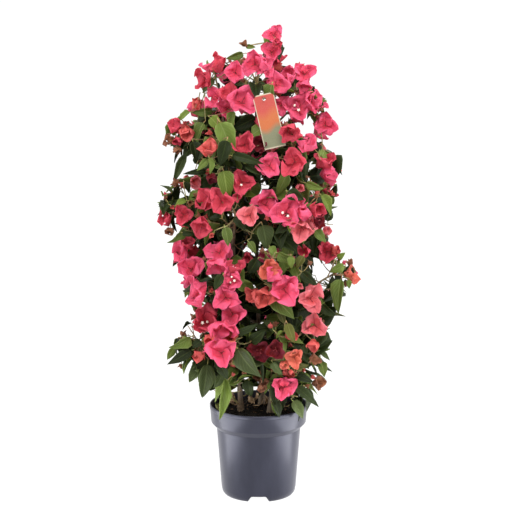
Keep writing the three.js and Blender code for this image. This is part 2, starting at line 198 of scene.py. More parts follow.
class Limb:
    """A limb runs from one point to another, bows aside in between, and tapers. A flare widens its foot."""

    def __init__(self, start, end, bow, radius, flare=(0, 1)):
        self.start = start
        self.end = end
        self.bow = bow
        self.radius = radius
        self.flare = flare
        self.span = end - start

    def point(self, t):
        return self.start + self.span * t + self.bow * (4 * t * (1 - t))

    def heading(self, t):
        return (self.span + self.bow * (4 - 8 * t)).normalized()

    def radius_at(self, t):
        extra, height = self.flare
        return mix(*self.radius, t) + extra * math.exp(-t * self.span.length / height)

    def at_height(self, height):
        return self.point(min(max((height - self.start.z) / self.span.z, 0), 1))


class Mass:
    """One mass of foliage: its own space, its number of twigs, and the share of those that end in bracts."""

    def __init__(self, order, name, centre, reach, twigs, bloom, tall=1.0):
        self.name = name
        self.centre = Vector(centre)
        self.reach = reach
        self.twigs = twigs
        self.bloom = bloom
        self.tall = tall
        self.seed = 100 * (order + 1)

    def holds(self, point, spare=0.0):
        offset = point - self.centre
        return math.hypot(offset.x, offset.y, offset.z / self.tall) <= self.reach - spare

    def keeps(self, point):
        """Whether a point lies in the mass's own space, short of the planes between it and the others."""
        return self.holds(point) and all(self.nearer(point, other) for other in MASSES if other is not self)

    def nearer(self, point, other):
        apart = other.centre - self.centre
        share = apart.length * self.reach / (self.reach + other.reach)
        return (point - self.centre).dot(apart.normalized()) <= share - CLEAR


def all_masses():
    rows = list(FRONT_AND_SIDES)
    for i, tier in enumerate(BACK_TIERS):
        for j, hand in enumerate(("left", "right")):
            centre = (62 if j else -62, 88, 606 - 136 * i - 24 * j)
            rows.append((f"back_{hand}_{tier}", centre, 70, 8, 0.65, 1.1))
    return [Mass(order, *row) for order, row in enumerate(rows)]


MASSES = all_masses()


# The space under the lowest masses and over the compost, and how far the masses at the back reach
SKIRT_FOOT = SOIL_TOP + 28
SKIRT_TOP = 270
SKIRT_RADIUS = 74
BACK_REACH = 158


def in_crown(point, spare):
    """In the space of a mass, with so much to spare."""
    return any(mass.holds(point, spare) for mass in MASSES)


def in_reach(point, spare):
    """In the space of a mass, or under the lowest masses and over the compost, with so much to spare."""
    over_pot = SKIRT_FOOT < point.z < SKIRT_TOP and math.hypot(point.x, point.y) < SKIRT_RADIUS - spare
    return over_pot or in_crown(point, spare)


def room_along(mass, start, direction):
    """How far a twig can grow before it leaves the mass's own space."""
    step = 2
    room = 0
    while mass.keeps(start + direction * (room + step)):
        room += step
    return room


def square_to(direction):
    other = Vector((1, 0, 0)) if abs(direction.z) > 0.9 else UP
    return direction.cross(other).normalized()


def leader_from(mass, entry, heading):
    """The leader that runs from its entry past the mass's centre, and the direction outward."""
    outward = (mass.centre - entry).normalized()
    span = mass.centre + outward * (LEADER_PAST * mass.reach) - entry
    bow = (heading * span.length - span) * LEADER_BOW
    return Limb(entry, entry + span, bow, LEADER_RADIUS), outward


def carry(mass, stems):
    """The mass's leader and its outward direction, and the bough that carries it, if it stands far off."""
    for name, limb in stems.items():
        if STEMS[name][3] == mass.name:
            return (*leader_from(mass, limb.end, limb.heading(1)), None)
    stem = min(stems.values(), key=lambda limb: (limb.at_height(mass.centre.z) - mass.centre).length)
    start = stem.at_height(mass.centre.z - BOUGH_BELOW * mass.reach + BOUGH_RISE * mass.centre.y)
    outward = (mass.centre - start).normalized()
    if (stem.at_height(mass.centre.z) - mass.centre).length < BOUGH_FROM:
        return (*leader_from(mass, start, outward), None)
    entry = mass.centre - outward * (BOUGH_ENDS * mass.reach)
    bough = Limb(start, entry, Vector((0, 0, -BOUGH_SAG)), BOUGH_RADIUS)
    return (*leader_from(mass, entry, bough.heading(1)), bough)


# The tones of leaves: the blade and its veins. The darkest green is a dark leaf tone that mostly paints the
# shade deep in the crown.
GREENS = {
    "shade_dark_green": ((0.015, 0.024, 0.004), (0.06, 0.088, 0.022)),
    "dusk_green": ((0.06, 0.083, 0.024), (0.125, 0.165, 0.055)),
    "mid_green": ((0.118, 0.168, 0.03), (0.26, 0.32, 0.1)),
    "fresh_green": ((0.11, 0.155, 0.02), (0.28, 0.33, 0.09)),
    "olive": ((0.085, 0.088, 0.016), (0.22, 0.22, 0.07)),
}

# The tones of bracts: the blade, its foot, deeper partly in its own tone and partly with painted shade
# inside the cup, and its ribs
REDS = {
    "pink": ((0.98, 0.145, 0.28), (0.78, 0.055, 0.09), (0.56, 0.035, 0.09)),
    "rose": ((0.8, 0.088, 0.135), (0.54, 0.028, 0.044), (0.4, 0.02, 0.048)),
    "salmon": ((0.98, 0.26, 0.29), (0.78, 0.1, 0.1), (0.46, 0.04, 0.05)),
    "coral": ((0.86, 0.165, 0.14), (0.56, 0.06, 0.04), (0.4, 0.04, 0.03)),
    # The darkest red is a dark copy of the bract colour: painted shade for bracts deep in the crown.
    "shade_crimson": ((0.19, 0.005, 0.007), (0.12, 0.003, 0.005), (0.08, 0.002, 0.004)),
    "amber": ((0.88, 0.22, 0.15), (0.62, 0.13, 0.05), (0.45, 0.06, 0.03)),
    "russet": ((0.37, 0.145, 0.066), (0.25, 0.11, 0.045), (0.2, 0.06, 0.03)),
}

# What has grown so far: limbs with bark, twigs, stalks, and each kind of blade by its tone
WOOD = []
TWIGS = []
STALKS = []
THORNS = []
LEAVES = {tone: [] for tone in GREENS}
BRACTS = {tone: [] for tone in REDS}
FLOWERS = []

# How close two blades may stand, as a share of both their radii, and the size of the cells that hold them
CLOSENESS = {("leaf", "leaf"): 0.46, ("bloom", "bloom"): 0.66}
CLOSENESS_OF_UNLIKE = 0.62
CROWD_CELL = 40


class Crowd:
    """The places that blades already take, so that new ones keep their distance."""

    def __init__(self):
        self.places = {}

    def key(self, point):
        return tuple(int(math.floor(c / CROWD_CELL)) for c in point)

    def add(self, point, radius, kind):
        self.places.setdefault(self.key(point), []).append((point, radius, kind))

    def near(self, point):
        x, y, z = self.key(point)
        for i in (-1, 0, 1):
            for j in (-1, 0, 1):
                for k in (-1, 0, 1):
                    yield from self.places.get((x + i, y + j, z + k), ())

    def room_for(self, point, radius, kind):
        for other, its_radius, its_kind in self.near(point):
            share = CLOSENESS.get((kind, its_kind), CLOSENESS_OF_UNLIKE)
            if (other - point).length < share * (radius + its_radius):
                return False
        return True


CROWD = Crowd()

# Where a bloom, leaf or the label shows in front: column, row, depth and radius, in pixels but for the depth
SHOWN = []

# The crown's outline from the front: the row in the picture, and the columns at its left and right
OUTLINE = [
    (24, 264, 283), (58, 262, 284), (62, 206, 308), (86, 194, 311), (95, 190, 327), (125, 166, 334),
    (131, 164, 332), (137, 164, 320), (148, 166, 320), (153, 168, 336), (166, 167, 344), (190, 162, 338),
    (205, 158, 334), (238, 168, 335), (250, 172, 348), (270, 174, 360), (288, 181, 350), (305, 191, 344),
    (322, 184, 332), (345, 170, 329), (370, 172, 329), (386, 198, 322), (397, 208, 320), (406, 214, 316),
    (424, 216, 304),
]
OUTLINE_SHARE = 0.8

# Places in the crown that the sky, a stem's foot or the compost shows through: column, row and radius
OPEN_PLACES = [
    (250, 77, 5), (264, 77, 5), (219, 83, 4), (262, 94, 4), (305, 127, 9), (283, 118, 3), (192, 120, 4),
    (190, 163, 8), (312, 165, 4), (185, 193, 4), (230, 216, 3), (238, 236, 3), (178, 226, 5), (326, 226, 6),
    (318, 275, 11), (210, 279, 5), (208, 297, 4), (254, 285, 2), (248, 347, 3), (297, 341, 3), (273, 360, 2),
    (239, 386, 3), (216, 391, 3), (180, 268, 4), (196, 333, 5),
    (233, 390, 3), (237, 396, 4), (243, 402, 6), (254, 404, 7), (265, 402, 5), (249, 395, 5), (268, 393, 3),
    (232, 405, 5), (286, 411, 3), (182, 104, 7),
]
OPEN_SHARE = 0.6

# Places where only the shaded middle of the crown shows: column, row and radius
SHADED_PLACES = [
    (253, 323, 10), (250, 235, 10), (261, 182, 11), (247, 163, 9), (248, 124, 9), (245, 342, 9),
    (231, 225, 9), (267, 338, 8), (238, 249, 9), (223, 372, 8), (239, 203, 8), (223, 149, 7), (242, 356, 6),
    (262, 223, 5),
    (216, 225, 6), (245, 308, 6), (282, 248, 5), (274, 179, 6), (290, 312, 6), (232, 159, 6), (312, 243, 6),
    (258, 282, 6), (303, 278, 5), (206, 246, 5), (271, 313, 5), (285, 271, 5), (291, 243, 7),
    (303, 347, 5), (250, 278, 8), (283, 312, 5),
]
SHADE_SHARE = 0.6
SHADE_FROM = -30
SHADE_BLOOMS_FROM = 60
SHADE_LEAVES = 3
SHADE_DEPTHS = (-16, 44)

# What stands further back than this hides nothing, nor does what stands a little behind
HIDES_BEFORE = 20
HIDES_SHARE = 0.75
HIDES_DEPTH = 14


def in_shade(point, radius=0):
    """Whether something here would stand where the shaded middle shows."""
    across, down, depth = on_picture(point)
    spare = SHADE_SHARE * radius * PIXELS / depth
    return any(math.hypot(across - u, down - v) < reach + spare for u, v, reach in SHADED_PLACES)


def left_open(point, radius):
    """Whether something here would pass the outline or cover an open place."""
    across, down, depth = on_picture(point)
    reach = radius * PIXELS / depth
    inside = OUTLINE_SHARE * reach
    if down - inside < OUTLINE[0][0]:
        return True
    for (top, *edges), (foot, *next_edges) in zip(OUTLINE, OUTLINE[1:]):
        if top <= down < foot:
            left, right = (mix(a, b, (down - top) / (foot - top)) for a, b in zip(edges, next_edges))
            if across - inside < left or across + inside > right:
                return True
    for its_across, its_down, its_reach in OPEN_PLACES:
        if math.hypot(across - its_across, down - its_down) < its_reach + OPEN_SHARE * reach:
            return True
    return False


def hides_shown(point, radius):
    """Whether something here would stand before one of the blooms or leaves that show in the photograph."""
    if point.y > HIDES_BEFORE:
        return False
    across, down, depth = on_picture(point)
    reach = radius * PIXELS / depth
    for its_across, its_down, its_depth, its_reach in SHOWN:
        gap = math.hypot(across - its_across, down - its_down)
        if gap < its_reach + HIDES_SHARE * reach and depth < its_depth + HIDES_DEPTH:
            return True
    return False


# How far past a limb's ends it is looked for, and the rise under which a limb counts as level
WOOD_MARGIN = 4
LEVEL_LIMB = 60


def touches_wood(points):
    for limb in WOOD:
        level = abs(limb.span.z) < LEVEL_LIMB
        for point in points:
            if level or limb.start.z - WOOD_MARGIN < point.z < limb.end.z + WOOD_MARGIN:
                t = (point - limb.start).dot(limb.span) / limb.span.length_squared
                if 0 < t < 1 and (limb.point(t) - point).length < limb.radius_at(t) + 1:
                    return True
    return False


def blade_axes(along, face, size, width=1.0, twist=0.0):
    """The three axes of a blade that points along, with its upper side to face."""
    across = along.cross(face).normalized()
    raised = across.cross(along).normalized()
    turn = Matrix.Rotation(twist, 3, along)
    return turn @ across * (size * width), along * size, turn @ raised * size


# Shares of a leaf's length
LEAF_STALK = 0.16
LEAF_MIDDLE = 0.45
LEAF_TIP = 0.9
LEAF_RADIUS = 0.3

# The width of a leaf of unit length, how it varies, how far it may twist, and how much lower it is tried
LEAF_WIDTH = 0.64
LEAF_WIDTHS = (0.85, 1.1)
LEAF_TWIST = 1.0
SHOWN_LEAF_TWIST = 0.5
LEAF_HANGS = (0.0, 0.5, -0.6, 1.1)

# The longest leaf, the shortest as a share of it, and how far leaves turn aside and droop
LONGEST_LEAF = 58
SHORTEST_LEAF_SHARE = 0.55
LEAF_TURNS = (0.5, 1.2)
LEAF_DROOPS = (-0.1, 0.5)

# How far a leaf's tip and a bloom's rim may stand out of the crown, how deep a leaf's middle stands in it,
# and the radius of a thin tip
TIP_STANDS_OUT = 3
RIM_STANDS_OUT = 4
MIDDLE_STANDS_IN = 4
THIN_TIP = 2

# How many shapes of leaf and of bract there are. The one after the last bract is the bud.
LEAF_KINDS = 6
BRACT_KINDS = 8


def add_leaf(node, aim, face, length, tone, dice, width=1.0, shown=False):
    """A leaf on its stalk, unless it would leave the crown, touch wood or crowd others."""
    stalk = LEAF_STALK * length
    start = node + (aim + UP * 0.25).normalized() * stalk
    middle = start + aim * (LEAF_MIDDLE * length)
    tip = start + aim * (LEAF_TIP * length)
    radius = LEAF_RADIUS * length
    if not shown:
        if not in_reach(tip, -TIP_STANDS_OUT) or not in_reach(middle, MIDDLE_STANDS_IN):
            return False
        if (start + aim * length).y > BACK_REACH:
            return False
        if left_open(middle, radius) or left_open(tip, THIN_TIP):
            return False
        # In the shaded middle a leaf takes the darkest green, which paints the shade there.
        if in_shade(middle):
            if middle.y < SHADE_FROM:
                return False
            tone = "shade_dark_green"
        if not CROWD.room_for(middle, radius, "leaf"):
            return False
        if hides_shown(middle, radius) or hides_shown(tip, 0.5 * radius) or hides_shown(start, 0.5 * radius):
            return False
        if touches_wood((start, middle, tip)):
            return False
    CROWD.add(middle, radius, "leaf")
    kind = int(dice.roll() * LEAF_KINDS)
    most = SHOWN_LEAF_TWIST if shown else LEAF_TWIST
    axes = blade_axes(aim, face, length, width * dice.between(*LEAF_WIDTHS), dice.between(-most, most))
    LEAVES[tone].append((kind, start, axes, dice.roll()))
    STALKS.append(Limb(node, start, (start - node).cross(aim) * 0.1 + UP * -0.6, STALK_RADIUS))
    return True


def leaf_beside(node, away, outward, hand, dice, tone, longest=LONGEST_LEAF):
    """A leaf is tried in a few directions, and left out where none suits."""
    flank = away.cross(UP).normalized()
    face = (UP + outward * 0.7 + dice.drift(0.6)).normalized()
    length = dice.between(SHORTEST_LEAF_SHARE * longest, longest)
    turn = dice.between(*LEAF_TURNS) * hand
    droop = dice.between(*LEAF_DROOPS)
    for lower in LEAF_HANGS:
        aim = (away * 0.5 + flank * turn - UP * (droop + lower) + dice.drift(0.2)).normalized()
        if add_leaf(node, aim, face, length, tone, dice):
            return True
    return False


# How many bracts a bloom has, how far they open, how wide one of unit length is, how far it twists, and how
# its length and width vary
BRACTS_ROUND = 3
BLOOM_OPENINGS = (0.5, 0.85)
BRACT_WIDTH = 1.04
BRACT_TWIST = 0.13
BRACT_LENGTHS = (0.9, 1.06)
BRACT_WIDTHS = (0.9, 1.08)

# A smaller bloom than this is a bud
BUD_SIZE = 13

# Shares of a bloom's size
BLOOM_RADIUS = 0.62
BLOOM_MIDDLE = 0.45
BLOOM_REACH = 0.85
FLOWER_TUBE = 0.4

# The longest tube of a small flower, how tubes vary, and the share of flowers that open on an open bloom
LONGEST_TUBE = 12.5
TUBE_LENGTHS = (0.85, 1.1)
FLOWERS_OPENED = 0.8


def add_bloom(centre, axis, size, tone, dice, opening, flowers, shown=False):
    """Three bracts round one axis, with a small flower on the rib of each. False where there is no room."""
    opening = dice.between(*BLOOM_OPENINGS) if opening is None else opening
    side = square_to(axis)
    turn = dice.between(0, math.tau)
    rims = []
    for i in range(BRACTS_ROUND):
        angle = turn + math.tau * i / BRACTS_ROUND + dice.between(-0.15, 0.15)
        radial = Matrix.Rotation(angle, 3, axis) @ side
        open_by = opening + dice.between(-0.24, 0.24)
        along = (axis * math.cos(open_by) + radial * math.sin(open_by)).normalized()
        inward = (axis * math.sin(open_by) - radial * math.cos(open_by)).normalized()
        rims.append((along, inward, radial, open_by))
    radius = BLOOM_RADIUS * size
    middle = centre + axis * (BLOOM_MIDDLE * size)
    if not shown:
        reached = [centre + along * (BLOOM_REACH * size) for along, *_ in rims]
        if not all(in_crown(point, -RIM_STANDS_OUT) for point in reached):
            return False
        if any((centre + along * size).y > BACK_REACH for along, *_ in rims):
            return False
        if not CROWD.room_for(middle, radius, "bloom") or hides_shown(middle, radius):
            return False
        if left_open(middle, radius) or middle.y < SHADE_BLOOMS_FROM and in_shade(middle, radius):
            return False
    CROWD.add(middle, radius, "bloom")
    for along, inward, radial, open_by in rims:
        kind = BRACT_KINDS if size < BUD_SIZE else int(dice.roll() * BRACT_KINDS)
        length = size * dice.between(*BRACT_LENGTHS)
        axes = blade_axes(along, inward, length, BRACT_WIDTH * dice.between(*BRACT_WIDTHS), BRACT_TWIST)
        BRACTS[tone].append((kind, centre + radial * 0.6, axes, dice.roll()))
        if flowers != "none":
            lean = 0.62 * open_by
            heading = (axis * math.cos(lean) + radial * math.sin(lean)).normalized()
            tube = min(FLOWER_TUBE * size, LONGEST_TUBE) * dice.between(*TUBE_LENGTHS)
            opened = flowers == "open" and dice.roll() < FLOWERS_OPENED
            FLOWERS.append((0, centre, blade_axes(heading, square_to(heading), tube), opened))
    return True


# The chances of each tone, and the tones whose blooms are small and half shut
BLOOM_TONES = {"pink": 52, "rose": 20, "salmon": 8, "coral": 11, "shade_crimson": 5, "amber": 4}
SMALL_TONES = ("coral", "amber")
SAME_TONE = 0.75
OPEN_FLOWERS = 0.16

# The sizes of full and small blooms, how far small ones open, and the lengths of their stalks
FULL_SIZES = (26, 37)
SMALL_SIZES = (14, 25)
SMALL_OPENINGS = (0.25, 0.6)
BLOOM_STALKS = (12, 26)
SHORT_BLOOM_STALKS = (8, 2)


def bloom_spray(tip, away, outward, dice, most=3):
    """One to three blooms on thin stalks at a twig's tip, of one tone for the most part."""
    tone = dice.pick(BLOOM_TONES)
    grown = 0
    for i in range(1 + int(dice.roll() * most)):
        own_tone = tone if dice.roll() < SAME_TONE else dice.pick(BLOOM_TONES)
        small = own_tone in SMALL_TONES
        size = dice.between(*(SMALL_SIZES if small else FULL_SIZES))
        opening = dice.between(*SMALL_OPENINGS) if small else None
        aim = (away + outward * 0.4 + dice.drift(0.8 if i else 0.25)).normalized()
        flowers = "open" if dice.roll() < OPEN_FLOWERS else "shut"
        for length in (dice.between(*BLOOM_STALKS), *SHORT_BLOOM_STALKS):
            centre = tip + aim * length
            axis = (aim * 0.7 + outward * 0.5 + dice.drift(0.3)).normalized()
            if add_bloom(centre, axis, size, own_tone, dice, opening, flowers):
                STALKS.append(Limb(tip, centre, dice.drift(2), STALK_RADIUS))
                grown += 1
                break
    buds(tip, away, tone, dice)
    return grown


# Buds: the height from which they grow, the most on a tip, the share of russet ones, their sizes and stalks
BUDS_FROM = 200
MOST_BUDS = 3
RUSSET_BUDS = 0.6
BUD_OPENING = 0.2
BUD_SIZES = (7, 12)
BUD_STALKS = (7, 18)


def buds(tip, away, tone, dice):
    """A few shut buds on short stalks at a shoot's tip."""
    for _ in range(int(dice.roll() * (MOST_BUDS + 1))):
        aim = (away + dice.drift(0.9)).normalized()
        centre = tip + aim * dice.between(*BUD_STALKS)
        own_tone = "russet" if dice.roll() < RUSSET_BUDS else tone
        if centre.z <= BUDS_FROM:
            continue
        if add_bloom(centre, aim, dice.between(*BUD_SIZES), own_tone, dice, BUD_OPENING, "none"):
            STALKS.append(Limb(tip, centre, dice.drift(1), STALK_RADIUS))


# The chance of a leaf deep in the crown, at its front, at its back and at its top, and the heights between
LEAFY_INSIDE = 34
LEAVES_INSIDE = 0.95
LEAVES_IN_FRONT = 0.36
LEAVES_BEHIND = 0.5
LEAVES_ON_TOP = 0.04
LEAFY_BELOW = 560
FEW_LEAVES_FROM = 680

# The chances of each tone of leaf deep in the crown, on its face, and at its sides and back
SHADY_INSIDE = 26
FACE_HALF = 90
SHADY_TONES = {"shade_dark_green": 70, "dusk_green": 8, "mid_green": 22}
FACE_TONES = {"shade_dark_green": 26, "dusk_green": 24, "mid_green": 41, "olive": 9}
SIDE_TONES = {"shade_dark_green": 24, "mid_green": 44, "fresh_green": 20, "olive": 12}
# Spurs and inner shoots in the middle of the crown take mostly the darkest green, which paints the shade
# there.
SPUR_TONES = {"shade_dark_green": 90, "mid_green": 10}
INNER_TONES = {"shade_dark_green": 85, "mid_green": 15}


def leafiness(point):
    """The chance of a leaf: high deep in the crown, lower at its face, and next to none at the top."""
    if in_crown(point, LEAFY_INSIDE):
        return LEAVES_INSIDE
    high = min(max((point.z - LEAFY_BELOW) / (FEW_LEAVES_FROM - LEAFY_BELOW), 0), 1)
    return mix(LEAVES_IN_FRONT if point.y < 0 else LEAVES_BEHIND, LEAVES_ON_TOP, high)


def leaf_tone(point, dice):
    """Leaves take dark tones deep in the crown, which paint the shade there, and fresh ones at its sides."""
    if in_crown(point, SHADY_INSIDE):
        return dice.pick(SHADY_TONES)
    if point.y < 0 and abs(point.x) < FACE_HALF:
        return dice.pick(FACE_TONES)
    return dice.pick(SIDE_TONES)


THORN_RADIUS = (0.55, 0.08)
THORN_LENGTHS = (5, 9)


def thorn(root, away, dice):
    aim = (away * 0.4 + square_to(away) * dice.between(-1, 1) + dice.drift(0.6)).normalized()
    THORNS.append(Limb(root, root + aim * dice.between(*THORN_LENGTHS), dice.drift(0.6), THORN_RADIUS))


STEM_SUNK = 3


def grow_stems():
    """The three stems, from just under the compost's top."""
    stems = {}
    for name, (foot, tip, bow, _) in STEMS.items():
        start = Vector((*foot, SOIL_TOP - STEM_SUNK))
        stems[name] = Limb(start, Vector(tip), Vector((*bow, 0)), STEM_RADIUS, ROOT_FLARE)
    WOOD.extend(stems.values())
    return stems


# Where a leader bears its twigs, how wide they open, and how far they stay from their mass's rim
TWIGS_ALONG = (0.25, 0.9)
TWIGS_OPEN = (1.6, 0.5)
ROOM_FOR_BLOOMS = 20
ROOM_FOR_LEAVES = 14
SHORTEST_TWIG = 12
CUT_STEP = 6
STUB = 0.3


def plan_mass(mass, stems):
    """The leader and twigs of one mass, as in the source."""
    leader, outward, bough = carry(mass, stems)
    if bough:
        WOOD.append(bough)
    twigs = []
    last = STUB
    for k in range(mass.twigs):
        dice = Dice(mass.seed + 1 + k)
        share = (k + 0.5) / mass.twigs
        place = mix(*TWIGS_ALONG, share)
        root = leader.point(place)
        opening = mix(*TWIGS_OPEN, share) + dice.between(-0.2, 0.2)
        turn = k * GOLDEN_ANGLE + dice.between(-0.3, 0.3)
        turned = Matrix.Rotation(turn, 3, outward) @ square_to(outward)
        away = outward * math.cos(opening) + turned * math.sin(opening)
        flowers = dice.roll() < mass.bloom
        spare = ROOM_FOR_BLOOMS if flowers else ROOM_FOR_LEAVES
        length = max(room_along(mass, root, away) - spare, SHORTEST_TWIG)
        while length > 2 * SHORTEST_TWIG and left_open(root + away * length, 8):
            length -= CUT_STEP
        if left_open(root + away * length, THIN_TIP):
            continue
        last = place
        bow = dice.drift(0.06 * length) - UP * (0.05 * length)
        limb = Limb(root, root + away * length, bow, TWIG_RADIUS)
        twigs.append((limb, away, flowers, dice))
    leader = cut_back(leader, last + 0.02)
    TWIGS.append(leader)
    return mass, leader, outward, twigs


def blades_grown():
    return sum(len(rows) for rows in (*LEAVES.values(), *BRACTS.values()))


# Where a long and a short shoot bear leaves, and the chance of a thorn beside them
LONG_SHOOT = 30
LONG_SHOOT_NODES = (0.45, 0.72, 0.95)
SHORT_SHOOT_NODES = (0.6, 0.95)
THORNS_BESIDE = 0.35

# The longest leaves at a shoot's tip and under it
END_LEAF = 46
SECOND_END_LEAF = 30


def finish_shoot(limb, outward, flowers, dice, most=3):
    """Leaves along a shoot, and what stands on its tip. False if it stays bare."""
    earlier = blades_grown()
    away = limb.heading(1)
    hand = 1 if dice.roll() < 0.5 else -1
    in_bloom = flowers and bloom_spray(limb.end, away, outward, dice, most)
    nodes = LONG_SHOOT_NODES if limb.span.length > LONG_SHOOT else SHORT_SHOOT_NODES
    for i, t in enumerate(nodes):
        node = limb.point(t)
        if dice.roll() < leafiness(node):
            leaf_beside(node, away, outward, hand if i % 2 else -hand, dice, leaf_tone(node, dice))
        if dice.roll() < THORNS_BESIDE and i + 1 < len(nodes) and not hides_shown(node, 4):
            thorn(node, away, dice)
    if not in_bloom:
        buds(limb.end, away, "coral", dice)
    if not in_bloom and dice.roll() < 2 * leafiness(limb.end):
        leaf_beside(limb.end, away, outward, 0.2 * hand, dice, leaf_tone(limb.end, dice), END_LEAF)
        tone = "fresh_green" if dice.roll() < 0.5 else leaf_tone(limb.end, dice)
        leaf_beside(limb.end, away, outward, -0.8 * hand, dice, tone, SECOND_END_LEAF)
    return blades_grown() > earlier


def cut_back(limb, t):
    """What is left of a limb when its end is cut off."""
    return Limb(limb.start, limb.point(t), limb.bow * t * t, limb.radius)


# Where a twig bears its finer shoots, the room that they keep, and the chance of blooms on them
SHOOTS_ALONG = (0.35, 0.55, 0.78)
SHORTEST_SHOOT = 10
SHOOT_LENGTHS = (20, 42)
SHOOT_ROOM = 14
BLOOMS_ON_BLOOMING = 0.8
BLOOMS_ON_LEAFY = 0.2
MORE_BEHIND = 0.2
BEHIND = 10


def grow_twig(limb, away, outward, flowers, dice):
    """A twig with finer shoots at its sides. A shoot that stays bare falls away, and so does a bare tip."""
    flank = away.cross(UP).normalized()
    for j, t in enumerate(SHOOTS_ALONG):
        hand = 1 if j % 2 else -1
        aim = away * 0.5 + flank * (hand * dice.between(0.6, 1.2)) + outward * 0.35
        aim = (aim + UP * dice.between(-0.6, 0.7)).normalized()
        root = limb.point(t)
        length = dice.between(*SHOOT_LENGTHS)
        while length > SHORTEST_SHOOT and not in_crown(root + aim * length, SHOOT_ROOM):
            length -= CUT_STEP
        tip = root + aim * length
        if length <= SHORTEST_SHOOT or hides_shown(tip, 4) or left_open(tip, THIN_TIP):
            continue
        shoot = Limb(root, tip, dice.drift(3) - UP * 2, SHOOT_RADIUS)
        thorns = len(THORNS)
        chance = BLOOMS_ON_BLOOMING if flowers else BLOOMS_ON_LEAFY
        if root.y > BEHIND:
            chance += MORE_BEHIND
        if finish_shoot(shoot, outward, dice.roll() < chance, dice, 2):
            TWIGS.append(shoot)
        else:
            del THORNS[thorns:]
    full = finish_shoot(limb, outward, flowers, dice)
    TWIGS.append(limb if full else cut_back(limb, 0.8))


# The spurs along a stem: their lowest and highest place, how far apart they stand, their length and leaves
SPURS_FROM = 178
SPURS_TO = 660
SPURS_APART = 10
SPUR_LENGTHS = (24, 56)
SPUR_NODES = (0.4, 0.7, 1.0)
LONGEST_SPUR_LEAF = 66


def grow_spurs(stem, order):
    """Short leafy shoots all along a stem, which fill the middle of the crown."""
    for k in range((SPURS_TO - SPURS_FROM) // SPURS_APART):
        dice = Dice(SPUR_SEED + SPUR_SEEDS_PER_STEM * order + k)
        root = stem.at_height(SPURS_FROM + SPURS_APART * k + dice.between(-5, 5))
        angle = k * GOLDEN_ANGLE + dice.between(-0.4, 0.4)
        away = Vector((math.cos(angle), math.sin(angle), dice.between(0.1, 0.7))).normalized()
        spur = Limb(root, root + away * dice.between(*SPUR_LENGTHS), UP * -3, SHOOT_RADIUS)
        furthest = 0
        for i, t in enumerate(SPUR_NODES):
            tone = dice.pick(SPUR_TONES)
            hand = 1 if i % 2 else -1
            if leaf_beside(spur.point(t), away, away, hand, dice, tone, LONGEST_SPUR_LEAF):
                furthest = t
        if furthest:
            TWIGS.append(cut_back(spur, furthest))


INNER_LEAF_EVERY = 11
INNER_SHOOTS = (10, 30)
LONGEST_INNER_LEAF = 60


def grow_inner_leaves(limb, dice):
    """Leaves, mostly of the darkest green that paints the shade inside the crown, all along a bough or
    leader, on short shoots that wind round it.
    """
    count = int(limb.span.length / INNER_LEAF_EVERY)
    for k in range(count):
        root = limb.point((k + 0.5) / count)
        heading = limb.heading(0.5)
        away = Matrix.Rotation(k * GOLDEN_ANGLE, 3, heading) @ square_to(heading)
        shoot = Limb(root, root + away * dice.between(*INNER_SHOOTS), UP * -2, SHOOT_RADIUS)
        if hides_shown(shoot.end, 3) or left_open(shoot.end, THIN_TIP):
            continue
        earlier = blades_grown()
        for hand in (1, -1):
            tone = dice.pick(INNER_TONES)
            leaf_beside(shoot.end, away, away, hand, dice, tone, LONGEST_INNER_LEAF)
        if blades_grown() > earlier:
            TWIGS.append(shoot)


TIP_LEAVES_ALONG = (1.0, 0.97, 0.9, 0.84, 0.76)
LONGEST_TIP_LEAF = 44


def dress_tip(leader, outward, flowers, dice):
    """Blooms at a leader's tip, and leaves round it and a little lower down."""
    away = leader.heading(1)
    if flowers:
        bloom_spray(leader.end, away, outward, dice, 2)
    for k, t in enumerate(TIP_LEAVES_ALONG):
        aim = Matrix.Rotation(k * GOLDEN_ANGLE, 3, away) @ square_to(away)
        node = leader.point(t)
        leaf_beside(node, aim, outward, 0.4, dice, leaf_tone(node, dice), LONGEST_TIP_LEAF)


